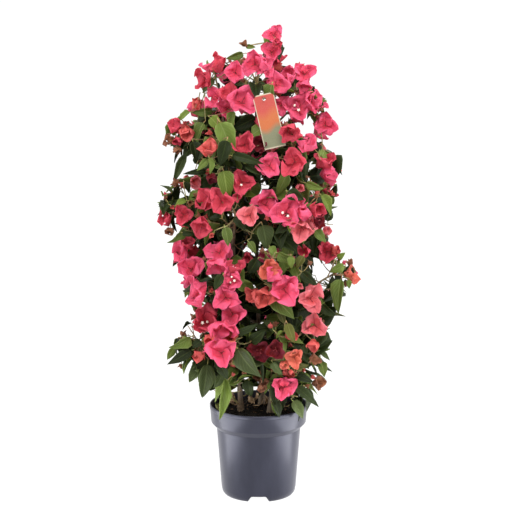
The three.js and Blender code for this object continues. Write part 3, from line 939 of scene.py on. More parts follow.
# Blooms that show in the photograph: column, row, width, tone, and where each looks. f is at the camera.
SHOWN_BLOOMS = [
    (274, 34, 15, "pink", "f"), (272, 51, 16, "pink", "f"), (277, 44, 9, "rose", "r"),
    (244, 44, 7, "russet", "u"),
    (275, 61, 8, "rose", "d"), (254, 64, 23, "pink", "f"), (266, 66, 17, "pink", "r"),
    (235, 72, 18, "pink", "f"), (217, 63, 17, "rose", "l"), (203, 79, 18, "rose", "l"),
    (305, 72, 21, "pink", "f"), (287, 77, 17, "pink", "l"), (304, 86, 12, "pink", "d"),
    (277, 84, 18, "pink", "f"), (213, 97, 21, "pink", "l"), (228, 93, 17, "rose", "u"),
    (227, 108, 15, "pink", "f"), (243, 100, 27, "pink", "f"), (223, 114, 15, "salmon", "d"),
    (280, 105, 15, "pink", "f"), (298, 106, 26, "pink", "f"), (313, 101, 20, "pink", "r"),
    (325, 124, 20, "pink", "f"), (289, 134, 16, "rose", "d"), (307, 143, 20, "pink", "u"),
    (294, 161, 26, "rose", "f"), (325, 160, 19, "rose", "u"), (330, 174, 23, "pink", "r"),
    (269, 165, 19, "pink", "f"), (244, 144, 21, "rose", "f"), (258, 144, 14, "shade_crimson", "f"),
    (209, 147, 15, "coral", "u"), (175, 126, 13, "rose", "l"), (187, 133, 13, "coral", "d"),
    (169, 140, 10, "russet", "l"), (178, 141, 9, "rose", "d"), (177, 150, 8, "russet", "d"),
    (197, 104, 11, "coral", "l"), (175, 183, 8, "russet", "l"), (195, 182, 13, "salmon", "f"),
    (212, 178, 10, "shade_crimson", "d"), (243, 182, 23, "rose", "f"), (204, 200, 25, "rose", "l"),
    (221, 202, 24, "rose", "f"), (267, 203, 27, "pink", "f"), (286, 212, 29, "pink", "f"),
    (249, 215, 18, "salmon", "f"), (304, 213, 14, "pink", "r"), (318, 209, 14, "rose", "r"),
    (319, 221, 11, "shade_crimson", "r"), (301, 232, 21, "salmon", "d"), (165, 218, 13, "rose", "l"),
    (184, 215, 17, "rose", "f"), (202, 228, 17, "rose", "d"), (170, 231, 8, "russet", "d"),
    (237, 197, 8, "rose", "d"), (300, 188, 9, "salmon", "f"), (180, 253, 19, "pink", "l"),
    (188, 243, 12, "rose", "u"), (190, 268, 26, "pink", "f"), (195, 292, 28, "pink", "l"),
    (218, 251, 22, "pink", "f"), (218, 267, 19, "pink", "d"), (235, 266, 16, "rose", "u"),
    (232, 280, 22, "pink", "f"), (225, 298, 24, "pink", "f"), (232, 314, 24, "pink", "f"),
    (206, 320, 27, "rose", "f"), (221, 331, 26, "pink", "d"), (222, 353, 27, "pink", "f"),
    (210, 340, 11, "coral", "d"), (199, 356, 12, "coral", "l"), (284, 290, 28, "pink", "f"),
    (274, 275, 14, "pink", "u"), (252, 296, 14, "coral", "l"), (264, 299, 18, "coral", "d"),
    (270, 268, 17, "amber", "f"), (248, 258, 11, "rose", "f"), (304, 251, 12, "rose", "f"),
    (328, 252, 21, "rose", "f"), (312, 299, 25, "salmon", "f"), (314, 325, 25, "salmon", "f"),
    (314, 346, 12, "coral", "d"), (260, 351, 18, "shade_crimson", "f"), (275, 350, 16, "shade_crimson", "f"),
    (294, 358, 15, "amber", "f"), (285, 365, 9, "amber", "d"), (315, 359, 10, "russet", "r"),
    (319, 382, 12, "russet", "r"), (284, 388, 22, "pink", "f"), (258, 375, 11, "russet", "f"),
    (262, 388, 9, "russet", "d"), (264, 381, 8, "russet", "d"), (352, 276, 15, "amber", "r"),
    (350, 263, 7, "russet", "u"), (327, 230, 9, "salmon", "r"), (300, 286, 8, "salmon", "f"),
    (335, 250, 9, "coral", "r"),
]

# The ways that the shown blooms look: at the camera, up, down, left and right
LOOKS = {
    "f": (0, -1, 0.25),
    "u": (0, -0.45, 1),
    "d": (0, -0.75, -0.7),
    "l": (-0.9, -0.6, 0.25),
    "r": (0.9, -0.6, 0.25),
}
LOOKS_OPEN = {"f": 0.76, "u": 0.6, "d": 0.62, "l": 0.6, "r": 0.6}
WITH_OPEN_FLOWERS = {(298, 106), (243, 182), (286, 212), (235, 266), (232, 280), (206, 320)}

# A shown bloom's size from its width in the picture: small ones are cups, wide ones spread more
SMALL_BLOOM = 15
SMALL_BLOOM_OPENING = 0.36
WIDE_BLOOM = 20
NARROW_SHARE = 0.9
WIDE_SHARE = 0.79
FRONT_SHARE = 0.9

# Leaves that show: column and row of the blade's middle, its length and width, where its tip points
# as the hour hand of a clock does, and its tone
SHOWN_LEAVES = [
    (236, 57, 17, 8, 8.3, "mid_green"), (250, 47, 9, 5, 3.2, "mid_green"), (184, 116, 14, 7, 8, "mid_green"),
    (203, 113, 20, 10, 8.8, "mid_green"), (199, 132, 21, 11, 7, "mid_green"),
    (216, 124, 18, 12, 4.5, "fresh_green"), (226, 138, 34, 18, 5.2, "mid_green"),
    (232, 120, 18, 10, 6.5, "mid_green"), (246, 124, 24, 16, 8, "shade_dark_green"),
    (195, 150, 18, 12, 5.5, "shade_dark_green"), (224, 152, 24, 16, 6.5, "shade_dark_green"),
    (203, 165, 15, 8, 7.5, "mid_green"), (211, 165, 15, 9, 5.5, "mid_green"),
    (180, 168, 30, 8, 6.8, "dusk_green"), (196, 173, 22, 7, 8.9, "shade_dark_green"),
    (226, 185, 30, 19, 5.6, "fresh_green"), (246, 160, 30, 10, 3.4, "shade_dark_green"),
    (254, 169, 20, 12, 4, "shade_dark_green"), (283, 184, 23, 12, 6.8, "mid_green"),
    (295, 196, 17, 13, 4, "shade_dark_green"), (313, 187, 17, 10, 3.8, "mid_green"),
    (327, 204, 22, 12, 4.8, "fresh_green"), (187, 187, 12, 7, 5, "shade_dark_green"),
    (270, 93, 18, 14, 6.5, "mid_green"), (178, 237, 20, 10, 7.2, "mid_green"),
    (188, 234, 12, 6, 3.4, "shade_dark_green"), (227, 236, 18, 11, 5.5, "mid_green"),
    (206, 248, 16, 9, 6, "shade_dark_green"), (265, 236, 23, 16, 5.5, "dusk_green"),
    (252, 247, 13, 8, 4.8, "mid_green"), (273, 252, 13, 9, 5, "mid_green"),
    (285, 258, 18, 11, 4, "mid_green"), (254, 266, 16, 12, 7, "shade_dark_green"),
    (308, 279, 19, 12, 4.5, "shade_dark_green"), (314, 245, 17, 8, 6.3, "shade_dark_green"),
    (320, 236, 15, 9, 4.6, "mid_green"), (338, 295, 34, 15, 6.4, "mid_green"),
    (338, 269, 15, 9, 8, "mid_green"), (341, 256, 9, 6, 2, "fresh_green"),
    (327, 311, 17, 9, 4.5, "shade_dark_green"), (349, 284, 9, 6, 6, "mid_green"),
    (219, 282, 16, 9, 7, "shade_dark_green"), (252, 310, 23, 10, 3, "dusk_green"),
    (246, 331, 22, 9, 2.4, "shade_dark_green"), (245, 364, 36, 23, 5, "dusk_green"),
    (206, 380, 34, 16, 6.2, "dusk_green"), (223, 371, 18, 12, 5.2, "shade_dark_green"),
    (224, 398, 42, 11, 6.1, "mid_green"), (219, 382, 15, 8, 7, "dusk_green"),
    (182, 344, 23, 13, 7.8, "mid_green"), (171, 354, 13, 8, 7, "fresh_green"),
    (181, 358, 28, 11, 8, "shade_dark_green"), (197, 344, 11, 8, 8, "shade_dark_green"),
    (306, 396, 31, 11, 4.2, "shade_dark_green"), (304, 379, 17, 8, 3.6, "shade_dark_green"),
    (323, 369, 16, 10, 5.5, "fresh_green"), (325, 356, 12, 6, 4, "dusk_green"),
    (290, 333, 21, 10, 5.4, "olive"), (276, 369, 16, 9, 5, "dusk_green"),
    (277, 408, 18, 10, 5, "shade_dark_green"), (298, 409, 20, 11, 4.8, "dusk_green"),
    (249, 388, 16, 12, 6, "shade_dark_green"), (300, 367, 14, 8, 3, "olive"),
    (300, 262, 14, 8, 7, "olive"), (282, 318, 14, 7, 5, "olive"), (291, 262, 12, 7, 6, "mid_green"),
]
MM_PER_PIXEL = 1.71

# Where the crown's face is looked for behind a pixel, and the depth where there is none
FACE_DEPTHS = range(-150, 60, 4)
NO_FACE_DEPTH = -20

# The label as it shows in front: column, row and radius of four discs on it
LABEL_SHOWS = [(262, 112, 9), (265, 124, 10), (269, 136, 10), (273, 147, 10)]

# The room that the hanging card keeps round its hook: half its width, half its depth, its foot and its top
LABEL_ROOM = (30, 9, -92, 12)

# Places on a limb that a shown bloom or leaf can grow from, and how many of the nearest are tried
CARRIES_AT = (0.3, 0.5, 0.7, 0.9)
NEAREST_TRIED = 12

# Shares of a shown leaf's length and of its and a shown bloom's width in the picture
SHOWN_LEAF_MIDDLE = 0.62
SHOWN_LEAF_RADIUS = 0.35
SHOWN_BLOOM_RADIUS = 0.45


def depth_at(across, down, inset):
    """How far back the first point behind a pixel lies that is so deep in the crown."""
    inside = (y for y in FACE_DEPTHS if in_crown(behind_pixel(across, down, y), inset))
    return next(inside, NO_FACE_DEPTH)


def on_front(across, down, inset):
    """A point in the crown's front behind a pixel, not far back in the dips between two masses."""
    y = min(depth_at(across, down, inset), depth_at(across, down, 1) + 1.4 * inset)
    return behind_pixel(across, down, y)


def make_carriers(plans):
    """Points along the leaders and twigs, that a shown bloom or leaf can grow from."""
    points = []
    for _, leader, _, twigs in plans:
        for limb in [leader] + [twig[0] for twig in twigs]:
            points.extend(limb.point(t) for t in CARRIES_AT)
    return points


def meets_label(limb):
    """Whether a limb would pass through the hanging card."""
    half, deep, foot, top = LABEL_ROOM
    steps = [limb.point(i / 20) - Vector(LABEL_TWIG_TIP) for i in range(21)]
    return any(abs(step.x) < half and abs(step.y) < deep and foot < step.z < top for step in steps)


def grow_to(point, carriers, dice):
    """A thin shoot from the nearest twig to a point before it, clear of the label."""
    bow = dice.drift(4) - UP * 3
    behind = sorted((c for c in carriers if c.y > point.y - 4), key=lambda c: (c - point).length)
    shoots = [Limb(root, point, bow, SHOOT_RADIUS) for root in behind[:NEAREST_TRIED]]
    TWIGS.append(next((shoot for shoot in shoots if not meets_label(shoot)), shoots[0]))


def fill_shade(carriers):
    """Leaves of the darkest green, which paint the shade, behind the places where the shaded middle of the
    crown shows.
    """
    dice = Dice(SHADE_SEED)
    for across, down, reach in SHADED_PLACES:
        for _ in range(SHADE_LEAVES):
            u = across + dice.between(-0.7, 0.7) * reach
            v = down + dice.between(-0.7, 0.7) * reach
            middle = behind_pixel(u, v, dice.between(*SHADE_DEPTHS))
            if not in_crown(middle, 6):
                continue
            aim = (dice.drift(1) - UP * 0.4).normalized()
            length = dice.between(30, 52)
            node = middle - aim * (0.6 * length)
            grow_to(node, carriers, dice)
            face = (FRONT + UP * 0.3 + dice.drift(0.6)).normalized()
            add_leaf(node, aim, face, length, "shade_dark_green", dice, shown=True)


def shown_size(width, look):
    """The size of a shown bloom, in millimetres."""
    if width < SMALL_BLOOM:
        share = 1.0
    else:
        share = NARROW_SHARE if width < WIDE_BLOOM else WIDE_SHARE
    return width * MM_PER_PIXEL * share * (FRONT_SHARE if look == "f" else 1.0)


def grow_shown(carriers):
    """The blooms and leaves that show in front, each on a thin shoot."""
    dice = Dice(SHOWN_SEED)
    for across, down, width, tone, look in SHOWN_BLOOMS:
        axis = (Vector(LOOKS[look]) + dice.drift(0.22)).normalized()
        small = width < SMALL_BLOOM
        size = shown_size(width, look)
        front = on_front(across, down, 12)
        centre = front - axis * (BLOOM_MIDDLE * size)
        centre.y = max(centre.y, front.y)
        grow_to(centre, carriers, dice)
        flowers = "open" if (across, down) in WITH_OPEN_FLOWERS else "shut"
        opening = SMALL_BLOOM_OPENING if small else LOOKS_OPEN[look]
        add_bloom(centre, axis, size, tone, dice, opening, "none" if small else flowers, shown=True)
        SHOWN.append((*on_picture(front), SHOWN_BLOOM_RADIUS * width))
    for across, down, length, width, clock, tone in SHOWN_LEAVES:
        angle = clock * math.pi / 6
        aim = Vector((math.sin(angle), -0.25, math.cos(angle))).normalized()
        middle = on_front(across, down, 10)
        reach = length * MM_PER_PIXEL
        node = middle - aim * (SHOWN_LEAF_MIDDLE * reach)
        grow_to(node, carriers, dice)
        face = (FRONT + UP * 0.35 + dice.drift(0.4)).normalized()
        share = width / length / LEAF_WIDTH
        add_leaf(node, aim, face, reach, tone, dice, share, shown=True)
        SHOWN.append((*on_picture(middle), SHOWN_LEAF_RADIUS * length))


def grow_plant():
    """Everything that grows, from the stems out. Its order sets which blades find room."""
    stems = grow_stems()
    plans = [plan_mass(mass, stems) for mass in MASSES]
    label_root = stems["right_stem"].at_height(LABEL_TWIG_LEAVES_AT)
    WOOD.append(Limb(label_root, Vector(LABEL_TWIG_TIP), Vector(LABEL_TWIG_BOW), LABEL_TWIG_RADIUS))
    for across, down, reach in LABEL_SHOWS:
        place = behind_pixel(across, down, LABEL_TWIG_TIP[1])
        SHOWN.append((*on_picture(place), reach))
    carriers = make_carriers(plans)
    grow_shown(carriers)
    fill_shade(carriers)
    for _, _, outward, twigs in plans:
        for limb, away, flowers, dice in twigs:
            grow_twig(limb, away, outward, flowers, dice)
    for mass, leader, outward, _ in plans:
        dice = Dice(mass.seed + TIP_SEED)
        dress_tip(leader, outward, dice.roll() < mass.bloom, dice)
    for order, stem in enumerate(stems.values()):
        grow_spurs(stem, order)
    for mass, leader, _, _ in plans:
        if mass.centre.z < FEW_LEAVES_FROM:
            grow_inner_leaves(leader, Dice(mass.seed + INNER_SEED))
    for order, bough in enumerate(WOOD[len(stems):-1]):
        grow_inner_leaves(bough, Dice(BOUGH_SEED + order))


# Finishes

# The sockets of a mix node that belong to colours
MIX_SHARE = 0
MIX_FIRST = 6
MIX_SECOND = 7
MIX_RESULT = 2


class Finish:
    """A material, put together node by node round one shader."""

    def __init__(self, name, roughness, specular):
        self.material = bpy.data.materials.new(name)
        self.material.use_nodes = True
        self.nodes = self.material.node_tree.nodes
        self.links = self.material.node_tree.links
        self.shader = self.nodes["Principled BSDF"]
        self.output = self.nodes["Material Output"]
        self.set("Roughness", roughness)
        self.set("Specular IOR Level", specular)

    def set(self, socket, value):
        self.shader.inputs[socket].default_value = value

    def add(self, kind, inputs=None, **settings):
        node = self.nodes.new(kind)
        for name, value in settings.items():
            setattr(node, name, value)
        for name, value in (inputs or {}).items():
            self.feed(value, node.inputs[name])
        return node

    def feed(self, value, socket):
        if isinstance(value, bpy.types.NodeSocket):
            self.links.new(value, socket)
        else:
            socket.default_value = value

    def place(self, stretch=(1, 1, 1), kind="Object"):
        coordinates = self.add("ShaderNodeTexCoord").outputs[kind]
        return self.add("ShaderNodeMapping", {"Vector": coordinates, "Scale": stretch}).outputs["Vector"]

    def noise(self, vector, scale, detail, roughness=0.5):
        inputs = {"Vector": vector, "Scale": scale, "Detail": detail, "Roughness": roughness}
        return self.add("ShaderNodeTexNoise", inputs).outputs["Fac"]

    def cells(self, vector, scale):
        return self.add("ShaderNodeTexVoronoi", {"Vector": vector, "Scale": scale}).outputs["Distance"]

    def maths(self, operation, *values):
        node = self.add("ShaderNodeMath", operation=operation)
        for socket, value in zip(node.inputs, values):
            self.feed(value, socket)
        return node.outputs["Value"]

    def span(self, value, low, high, to_low=0.0, to_high=1.0):
        inputs = {"Value": value, "From Min": low, "From Max": high, "To Min": to_low, "To Max": to_high}
        return self.add("ShaderNodeMapRange", inputs).outputs["Result"]

    def blend(self, share, first, second):
        """A mix of two colours by a share."""
        node = self.add("ShaderNodeMix", data_type="RGBA")
        self.feed(share, node.inputs[MIX_SHARE])
        self.paint(first, node.inputs[MIX_FIRST])
        self.paint(second, node.inputs[MIX_SECOND])
        return node.outputs[MIX_RESULT]

    def paint(self, value, socket):
        """Feeds a colour, which is three numbers or another node's."""
        self.feed((*value, 1) if isinstance(value, tuple) else value, socket)

    def colour(self, value):
        self.paint(value, self.shader.inputs["Base Color"])

    def attribute(self, name):
        return self.add("ShaderNodeAttribute", attribute_name=name).outputs["Fac"]

    def blade_map(self):
        """Across and along a blade, each from 0 to 1, read from its own map."""
        split = self.add("ShaderNodeSeparateXYZ", {"Vector": self.place(kind="UV")})
        return split.outputs["X"], split.outputs["Y"]

    def rough(self, value):
        self.feed(value, self.shader.inputs["Roughness"])

    def bump(self, height, strength, distance):
        inputs = {"Height": height, "Strength": strength, "Distance": distance}
        normal = self.add("ShaderNodeBump", inputs).outputs["Normal"]
        self.feed(normal, self.shader.inputs["Normal"])

    def let_light_through(self, share, colour):
        """Part of the light passes through the blade and tints what is behind it."""
        inputs = {"Color": (*colour, 1)}
        glow = self.add("ShaderNodeBsdfTranslucent", inputs).outputs["BSDF"]
        joined = self.add("ShaderNodeMixShader", {0: share, 1: self.shader.outputs["BSDF"], 2: glow})
        self.feed(joined.outputs["Shader"], self.output.inputs["Surface"])


def off_middle(finish, value):
    """How far off the middle of a blade or card, from 0 to a half."""
    return finish.maths("ABSOLUTE", finish.maths("SUBTRACT", value, 0.5))


def ribs(finish, side_veins, slant):
    """0 on a blade's side veins and on its midrib and 1 off them, 1 on its rim, and the way along it."""
    x, along = finish.blade_map()
    across = off_middle(finish, x)
    midrib = finish.span(across, 0.0, 0.05)
    slanted = finish.maths("MULTIPLY_ADD", across, -slant, along)
    wave = finish.maths("PINGPONG", finish.maths("MULTIPLY", slanted, side_veins), 0.5)
    veins = finish.span(wave, 0.0, 0.12, 0.45, 1.0)
    return veins, midrib, finish.span(across, 0.42, 0.5), along


def stronger(colour, share, more=(0, 0, 0)):
    """A colour times a share, with a little more of each, up to 1."""
    return tuple(min(share * c + extra, 1) for c, extra in zip(colour, more))


def leaf_finish(name, colour, vein):
    """Matt leaves, paler at their rim and along their veins, of many shades."""
    finish = Finish(name, 0.48, 0.16)
    side_veins, midrib, rim, _ = ribs(finish, 7, 0.9)
    veins = finish.maths("MULTIPLY", side_veins, midrib)
    mottle = finish.noise(finish.place(), 90, 3)
    darker = stronger(colour, 0.55)
    body = finish.blend(finish.attribute("shade"), darker, stronger(colour, 1.25))
    body = finish.blend(finish.span(mottle, 0.35, 0.7, 0, 0.35), body, darker)
    body = finish.blend(finish.maths("MULTIPLY", rim, 0.6), body, vein)
    finish.colour(finish.blend(finish.span(veins, 0, 1, 0.6, 0), body, vein))
    finish.rough(finish.span(mottle, 0.3, 0.7, 0.42, 0.56))
    finish.bump(veins, 0.5, 0.0006)
    finish.let_light_through(0.18, stronger(colour, 1.8))
    return finish.material


def bract_finish(name, colour, foot_tone_and_shade, rib):
    """Papery bracts, deeper towards their foot, partly in their own tone and partly with painted shade
    inside the cup, with a net of fine veins.
    """
    finish = Finish(name, 0.62, 0.2)
    veins, midrib, rim, along = ribs(finish, 9, 1.5)
    tissue = finish.noise(finish.place(), 260, 5, 0.6)
    crumple = finish.noise(finish.place(), 75, 3, 0.5)
    paler_tone_and_highlight = stronger(colour, 1.1, (0.05, 0.05, 0.09))
    body = finish.blend(finish.attribute("shade"), stronger(colour, 0.8), colour)
    body = finish.blend(finish.span(crumple, 0.38, 0.62, 0, 0.4), body, paler_tone_and_highlight)
    # Darker towards the foot: partly the bract's own deeper tone, partly painted shade inside the cup.
    body = finish.blend(finish.span(along, 0.1, 0.45, 0.65, 0), body, foot_tone_and_shade)
    body = finish.blend(finish.span(tissue, 0.35, 0.65, 0, 0.2), body, foot_tone_and_shade)
    # A paler rim: a painted highlight along the bract's edge.
    body = finish.blend(finish.maths("MULTIPLY", rim, 0.35), body, paler_tone_and_highlight)
    body = finish.blend(finish.span(veins, 0.4, 1, 0.3, 0), body, rib)
    # A dark line along the midrib, fading along the bract: partly the midrib's own colour, partly painted
    # shadow in its crease.
    fading = finish.span(along, 0.35, 0.8, 1, 0.25)
    midrib_vein_and_shadow = finish.maths("MULTIPLY", finish.span(midrib, 0, 1, 0.85, 0), fading)
    finish.colour(finish.blend(midrib_vein_and_shadow, body, rib))
    relief = finish.maths("ADD", veins, finish.maths("MULTIPLY", tissue, 0.8))
    finish.bump(finish.maths("ADD", relief, finish.maths("MULTIPLY", crumple, 3.5)), 0.9, 0.0016)
    finish.let_light_through(0.3, colour)
    return finish.material


def twig_finish():
    """Young green twigs that turn woody in patches."""
    finish = Finish("green_tan_twigs", 0.6, 0.35)
    streaks = finish.noise(finish.place((1, 1, 0.3)), 120, 4)
    patches = finish.noise(finish.place(), 14, 2)
    young = finish.blend(finish.span(streaks, 0.3, 0.7), (0.16, 0.17, 0.05), (0.3, 0.27, 0.11))
    old = finish.blend(finish.span(streaks, 0.3, 0.7), (0.14, 0.075, 0.035), (0.3, 0.19, 0.1))
    finish.colour(finish.blend(finish.span(patches, 0.42, 0.58), young, old))
    finish.bump(streaks, 0.4, 0.0004)
    return finish.material


def stalk_finish():
    """Green stalks with a red side."""
    finish = Finish("leaf_stalks", 0.5, 0.4)
    streaks = finish.noise(finish.place(), 60, 2)
    finish.colour(finish.blend(finish.span(streaks, 0.4, 0.6), (0.24, 0.3, 0.07), (0.4, 0.2, 0.09)))
    finish.bump(streaks, 0.2, 0.0003)
    return finish.material


def bark_finish():
    """Grey-brown bark with long grain and pale flecks."""
    finish = Finish("fissured_bark", 0.82, 0.25)
    grain = finish.noise(finish.place((1, 1, 0.12)), 420, 6, 0.62)
    patches = finish.noise(finish.place((1, 1, 0.5)), 60, 3)
    flecks = finish.cells(finish.place((1, 1, 0.6)), 420)
    body = finish.blend(finish.span(grain, 0.32, 0.68), (0.05, 0.03, 0.018), (0.26, 0.18, 0.11))
    body = finish.blend(finish.span(patches, 0.45, 0.62, 0, 0.5), body, (0.2, 0.17, 0.13))
    finish.colour(finish.blend(finish.span(flecks, 0.0, 0.16, 0.6, 0), body, (0.4, 0.32, 0.22)))
    finish.bump(grain, 0.7, 0.001)
    return finish.material


def pot_finish():
    """Satin moulded plastic with faint turning lines, scuffs and dust."""
    finish = Finish("anthracite_plastic", 0.3, 0.45)
    finish.set("Specular Tint", (0.8, 0.82, 1, 1))
    finish.set("Sheen Weight", 0.1)
    finish.set("Sheen Roughness", 0.45)
    finish.set("Sheen Tint", (0.82, 0.82, 1, 1))
    grain = finish.noise(finish.place(), 900, 3)
    rings = finish.noise(finish.place((0.4, 0.4, 60)), 6, 2)
    smears = finish.noise(finish.place((1, 1, 0.35)), 26, 5, 0.6)
    scuffs = finish.noise(finish.place((3, 3, 40)), 30, 6, 0.7)
    body = finish.blend(finish.span(smears, 0.35, 0.7), (0.008, 0.0084, 0.014), (0.014, 0.0146, 0.023))
    body = finish.blend(finish.span(scuffs, 0.66, 0.8, 0, 0.3), body, (0.08, 0.08, 0.09))
    finish.colour(body)
    finish.rough(finish.span(smears, 0.3, 0.7, 0.27, 0.35))
    height = finish.maths("ADD", finish.maths("MULTIPLY", grain, 0.35), finish.maths("MULTIPLY", rings, 0.5))
    finish.bump(height, 0.06, 0.0005)
    return finish.material


def soil_finish(name, dark, light):
    """Dull crumbs, lighter in places."""
    finish = Finish(name, 0.95, 0.15)
    coarse = finish.noise(finish.place(), 160, 8, 0.7)
    finish.colour(finish.blend(finish.span(coarse, 0.4, 0.72), dark, light))
    finish.bump(coarse, 1.0, 0.002)
    return finish.material


def card_finish():
    """Coated card with soft bands of warm colour inside a pale margin."""
    finish = Finish("coated_card", 0.38, 0.5)
    x, y = finish.blade_map()
    sway = finish.maths("MULTIPLY", finish.maths("SINE", finish.maths("MULTIPLY", x, 5.5)), 0.05)
    level = finish.maths("ADD", y, sway)
    fibre = finish.noise(finish.place(), 700, 3)
    body = finish.blend(finish.span(level, 0.3, 0.42), (0.15, 0.16, 0.09), (0.4, 0.1, 0.025))
    body = finish.blend(finish.span(level, 0.56, 0.74), body, (0.38, 0.045, 0.035))
    beside = finish.span(off_middle(finish, x), 0.455, 0.47)
    ends = finish.span(off_middle(finish, y), 0.475, 0.482)
    margin = finish.maths("MAXIMUM", beside, ends)
    body = finish.blend(margin, body, (0.42, 0.36, 0.26))
    finish.colour(finish.blend(finish.span(fibre, 0.4, 0.6, 0, 0.06), body, (0.5, 0.4, 0.3)))
    finish.bump(fibre, 0.06, 0.0003)
    return finish.material


def plain_finish(name, roughness, colour, other):
    """Two colours in fine grain."""
    finish = Finish(name, roughness, 0.3)
    grain = finish.noise(finish.place(), 300, 3)
    finish.colour(finish.blend(finish.span(grain, 0.35, 0.65), colour, other))
    finish.bump(grain, 0.3, 0.0003)
    return finish.material


# Meshes


def make_piece(name, mesh, material, replaced=()):
    """A piece that rides on the part, in place of the nodes that it replaces."""
    mesh.materials.clear()
    mesh.materials.append(material)
    piece = bpy.data.objects.new(name, mesh)
    bpy.context.scene.collection.objects.link(piece)
    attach(piece, "root")
    if replaced:
        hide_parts(*replaced)


def mesh_from(shape, name, smooth=True):
    mesh = bpy.data.meshes.new(name)
    for face in shape.faces:
        face.smooth = smooth
    shape.to_mesh(mesh)
    shape.free()
    return mesh


def tubes(name, limbs, sides, spacing, swell=None):
    """Tapering tubes with closed ends, one along each limb."""
    curve = bpy.data.curves.new(name, "CURVE")
    curve.dimensions = "3D"
    curve.resolution_u = 1
    curve.bevel_depth = MM
    curve.bevel_resolution = sides // 2 - 2
    curve.use_fill_caps = True
    for limb in limbs:
        steps = max(int(limb.span.length / spacing), 2)
        spline = curve.splines.new("POLY")
        spline.points.add(steps)
        for i in range(steps + 1):
            t = i / steps
            spline.points[i].co = (*(limb.point(t) * MM), 1)
            spline.points[i].radius = limb.radius_at(t) + (swell(limb, t) if swell else 0)
    carrier = bpy.data.objects.new(name, curve)
    bpy.context.scene.collection.objects.link(carrier)
    mesh = bpy.data.meshes.new_from_object(carrier.evaluated_get(bpy.context.evaluated_depsgraph_get()))
    bpy.data.objects.remove(carrier)
    mesh.name = name
    shape = bmesh.new()
    shape.from_mesh(mesh)
    bmesh.ops.remove_doubles(shape, verts=shape.verts, dist=1e-7)
    bpy.data.meshes.remove(mesh)
    return shape


# The old leaf scars on a stem: how far apart, how far they stray, how thick and how long
SCARS_APART = 34
SCARS_STRAY = 9
SCAR_SWELL = 0.55
SCAR_HALF = 3.2

# The depths of the bark's fissures and of its knots
FISSURE_DEPTH = 0.34
KNOT_DEPTH = 0.3


def swollen_nodes(limb, t):
    """Old leaf scars thicken a stem every few centimetres."""
    along = t * limb.span.length
    off = (along + SCARS_STRAY * math.sin(along / 31)) % SCARS_APART - SCARS_APART / 2
    return SCAR_SWELL * math.exp(-(off / SCAR_HALF) ** 2)


def make_bark():
    """Stems and boughs with long fissures cut into their bark."""
    shape = tubes("stems_and_boughs", WOOD, 18, 1.6, swollen_nodes)
    shape.normal_update()
    moves = []
    for vert in shape.verts:
        place = vert.co * 1000
        fissure = noise.noise(Vector((place.x * 1.1, place.y * 1.1, place.z * 0.09)))
        knots = noise.noise(place * 0.22)
        move = FISSURE_DEPTH * min(fissure * 2.2, 0.45) + KNOT_DEPTH * knots
        moves.append(vert.normal * move * MM)
    for vert, move in zip(shape.verts, moves):
        vert.co += move
    bmesh.ops.recalc_face_normals(shape, faces=shape.faces)
    return mesh_from(shape, "stems_and_boughs")


class Template:
    """A small shape as arrays, to be laid out many times in one joined mesh."""

    def __init__(self, shape, sharp):
        if shape.calc_volume(signed=True) < 0:
            bmesh.ops.reverse_faces(shape, faces=shape.faces)
        shape.verts.index_update()
        layer = shape.loops.layers.uv.verify()
        self.points = np.array([vert.co for vert in shape.verts])
        self.corners = np.array([loop.vert.index for face in shape.faces for loop in face.loops])
        self.starts = np.cumsum([0] + [len(face.loops) for face in shape.faces])[:-1]
        self.map = np.array([loop[layer].uv for face in shape.faces for loop in face.loops])
        self.sharp = np.array([sharp(face) for face in shape.faces])
        shape.free()


def straight(along, side):
    return 0


def eased(y):
    """The way along a blade from 0 to 1, with its rows closer at both ends."""
    return (1 - math.cos(math.pi * (y + 0.5))) / 2


def blade_template(foot, tip, lift, thickness, width, cuts, waver=straight):
    """A closed thin blade of unit length, which widens by the power foot and narrows by the power tip."""
    shape = bmesh.new()
    bmesh.ops.create_grid(shape, x_segments=cuts[0], y_segments=cuts[1], size=0.5)
    layer = shape.loops.layers.uv.verify()
    for face in shape.faces:
        for loop in face.loops:
            loop[layer].uv = (loop.vert.co.x + 0.5, eased(loop.vert.co.y))
    widest = foot / (foot + tip)
    most = widest**foot * (1 - widest) ** tip
    for vert in shape.verts:
        across = 2 * vert.co.x
        along = eased(vert.co.y)
        half = 0.5 * width * along**foot * max(1 - along, 0) ** tip / most
        half *= 1 + waver(along, 1 if across > 0 else -1)
        vert.co = (across * half, along, lift(along, across * half))
    bmesh.ops.remove_doubles(shape, verts=shape.verts, dist=1e-4)
    bmesh.ops.solidify(shape, geom=shape.faces[:], thickness=thickness)
    rim = 1.6 * thickness
    return Template(shape, lambda face: min(edge.calc_length() for edge in face.edges) < rim)


def leaf_template(order):
    """A leaf, folded along its midrib, with its tip hanging and its rim in waves."""
    dice = Dice(LEAF_SEED + order)
    fold = dice.between(0.15, 0.75)
    droop = dice.between(0.08, 0.5)
    wave = dice.between(0.02, 0.06)
    phase = dice.between(0, 6)

    def lift(along, aside):
        ripple = wave * math.sin(9 * along + phase + (2 if aside > 0 else 0)) * abs(aside) * 4
        return fold * abs(aside) - droop * along**2 + 0.16 * droop * along + ripple

    def waver(along, side):
        return 0.05 * math.sin(11 * along + phase + side)

    return blade_template(0.48, dice.between(0.8, 1.15), lift, 0.008, LEAF_WIDTH, (4, 7), waver)


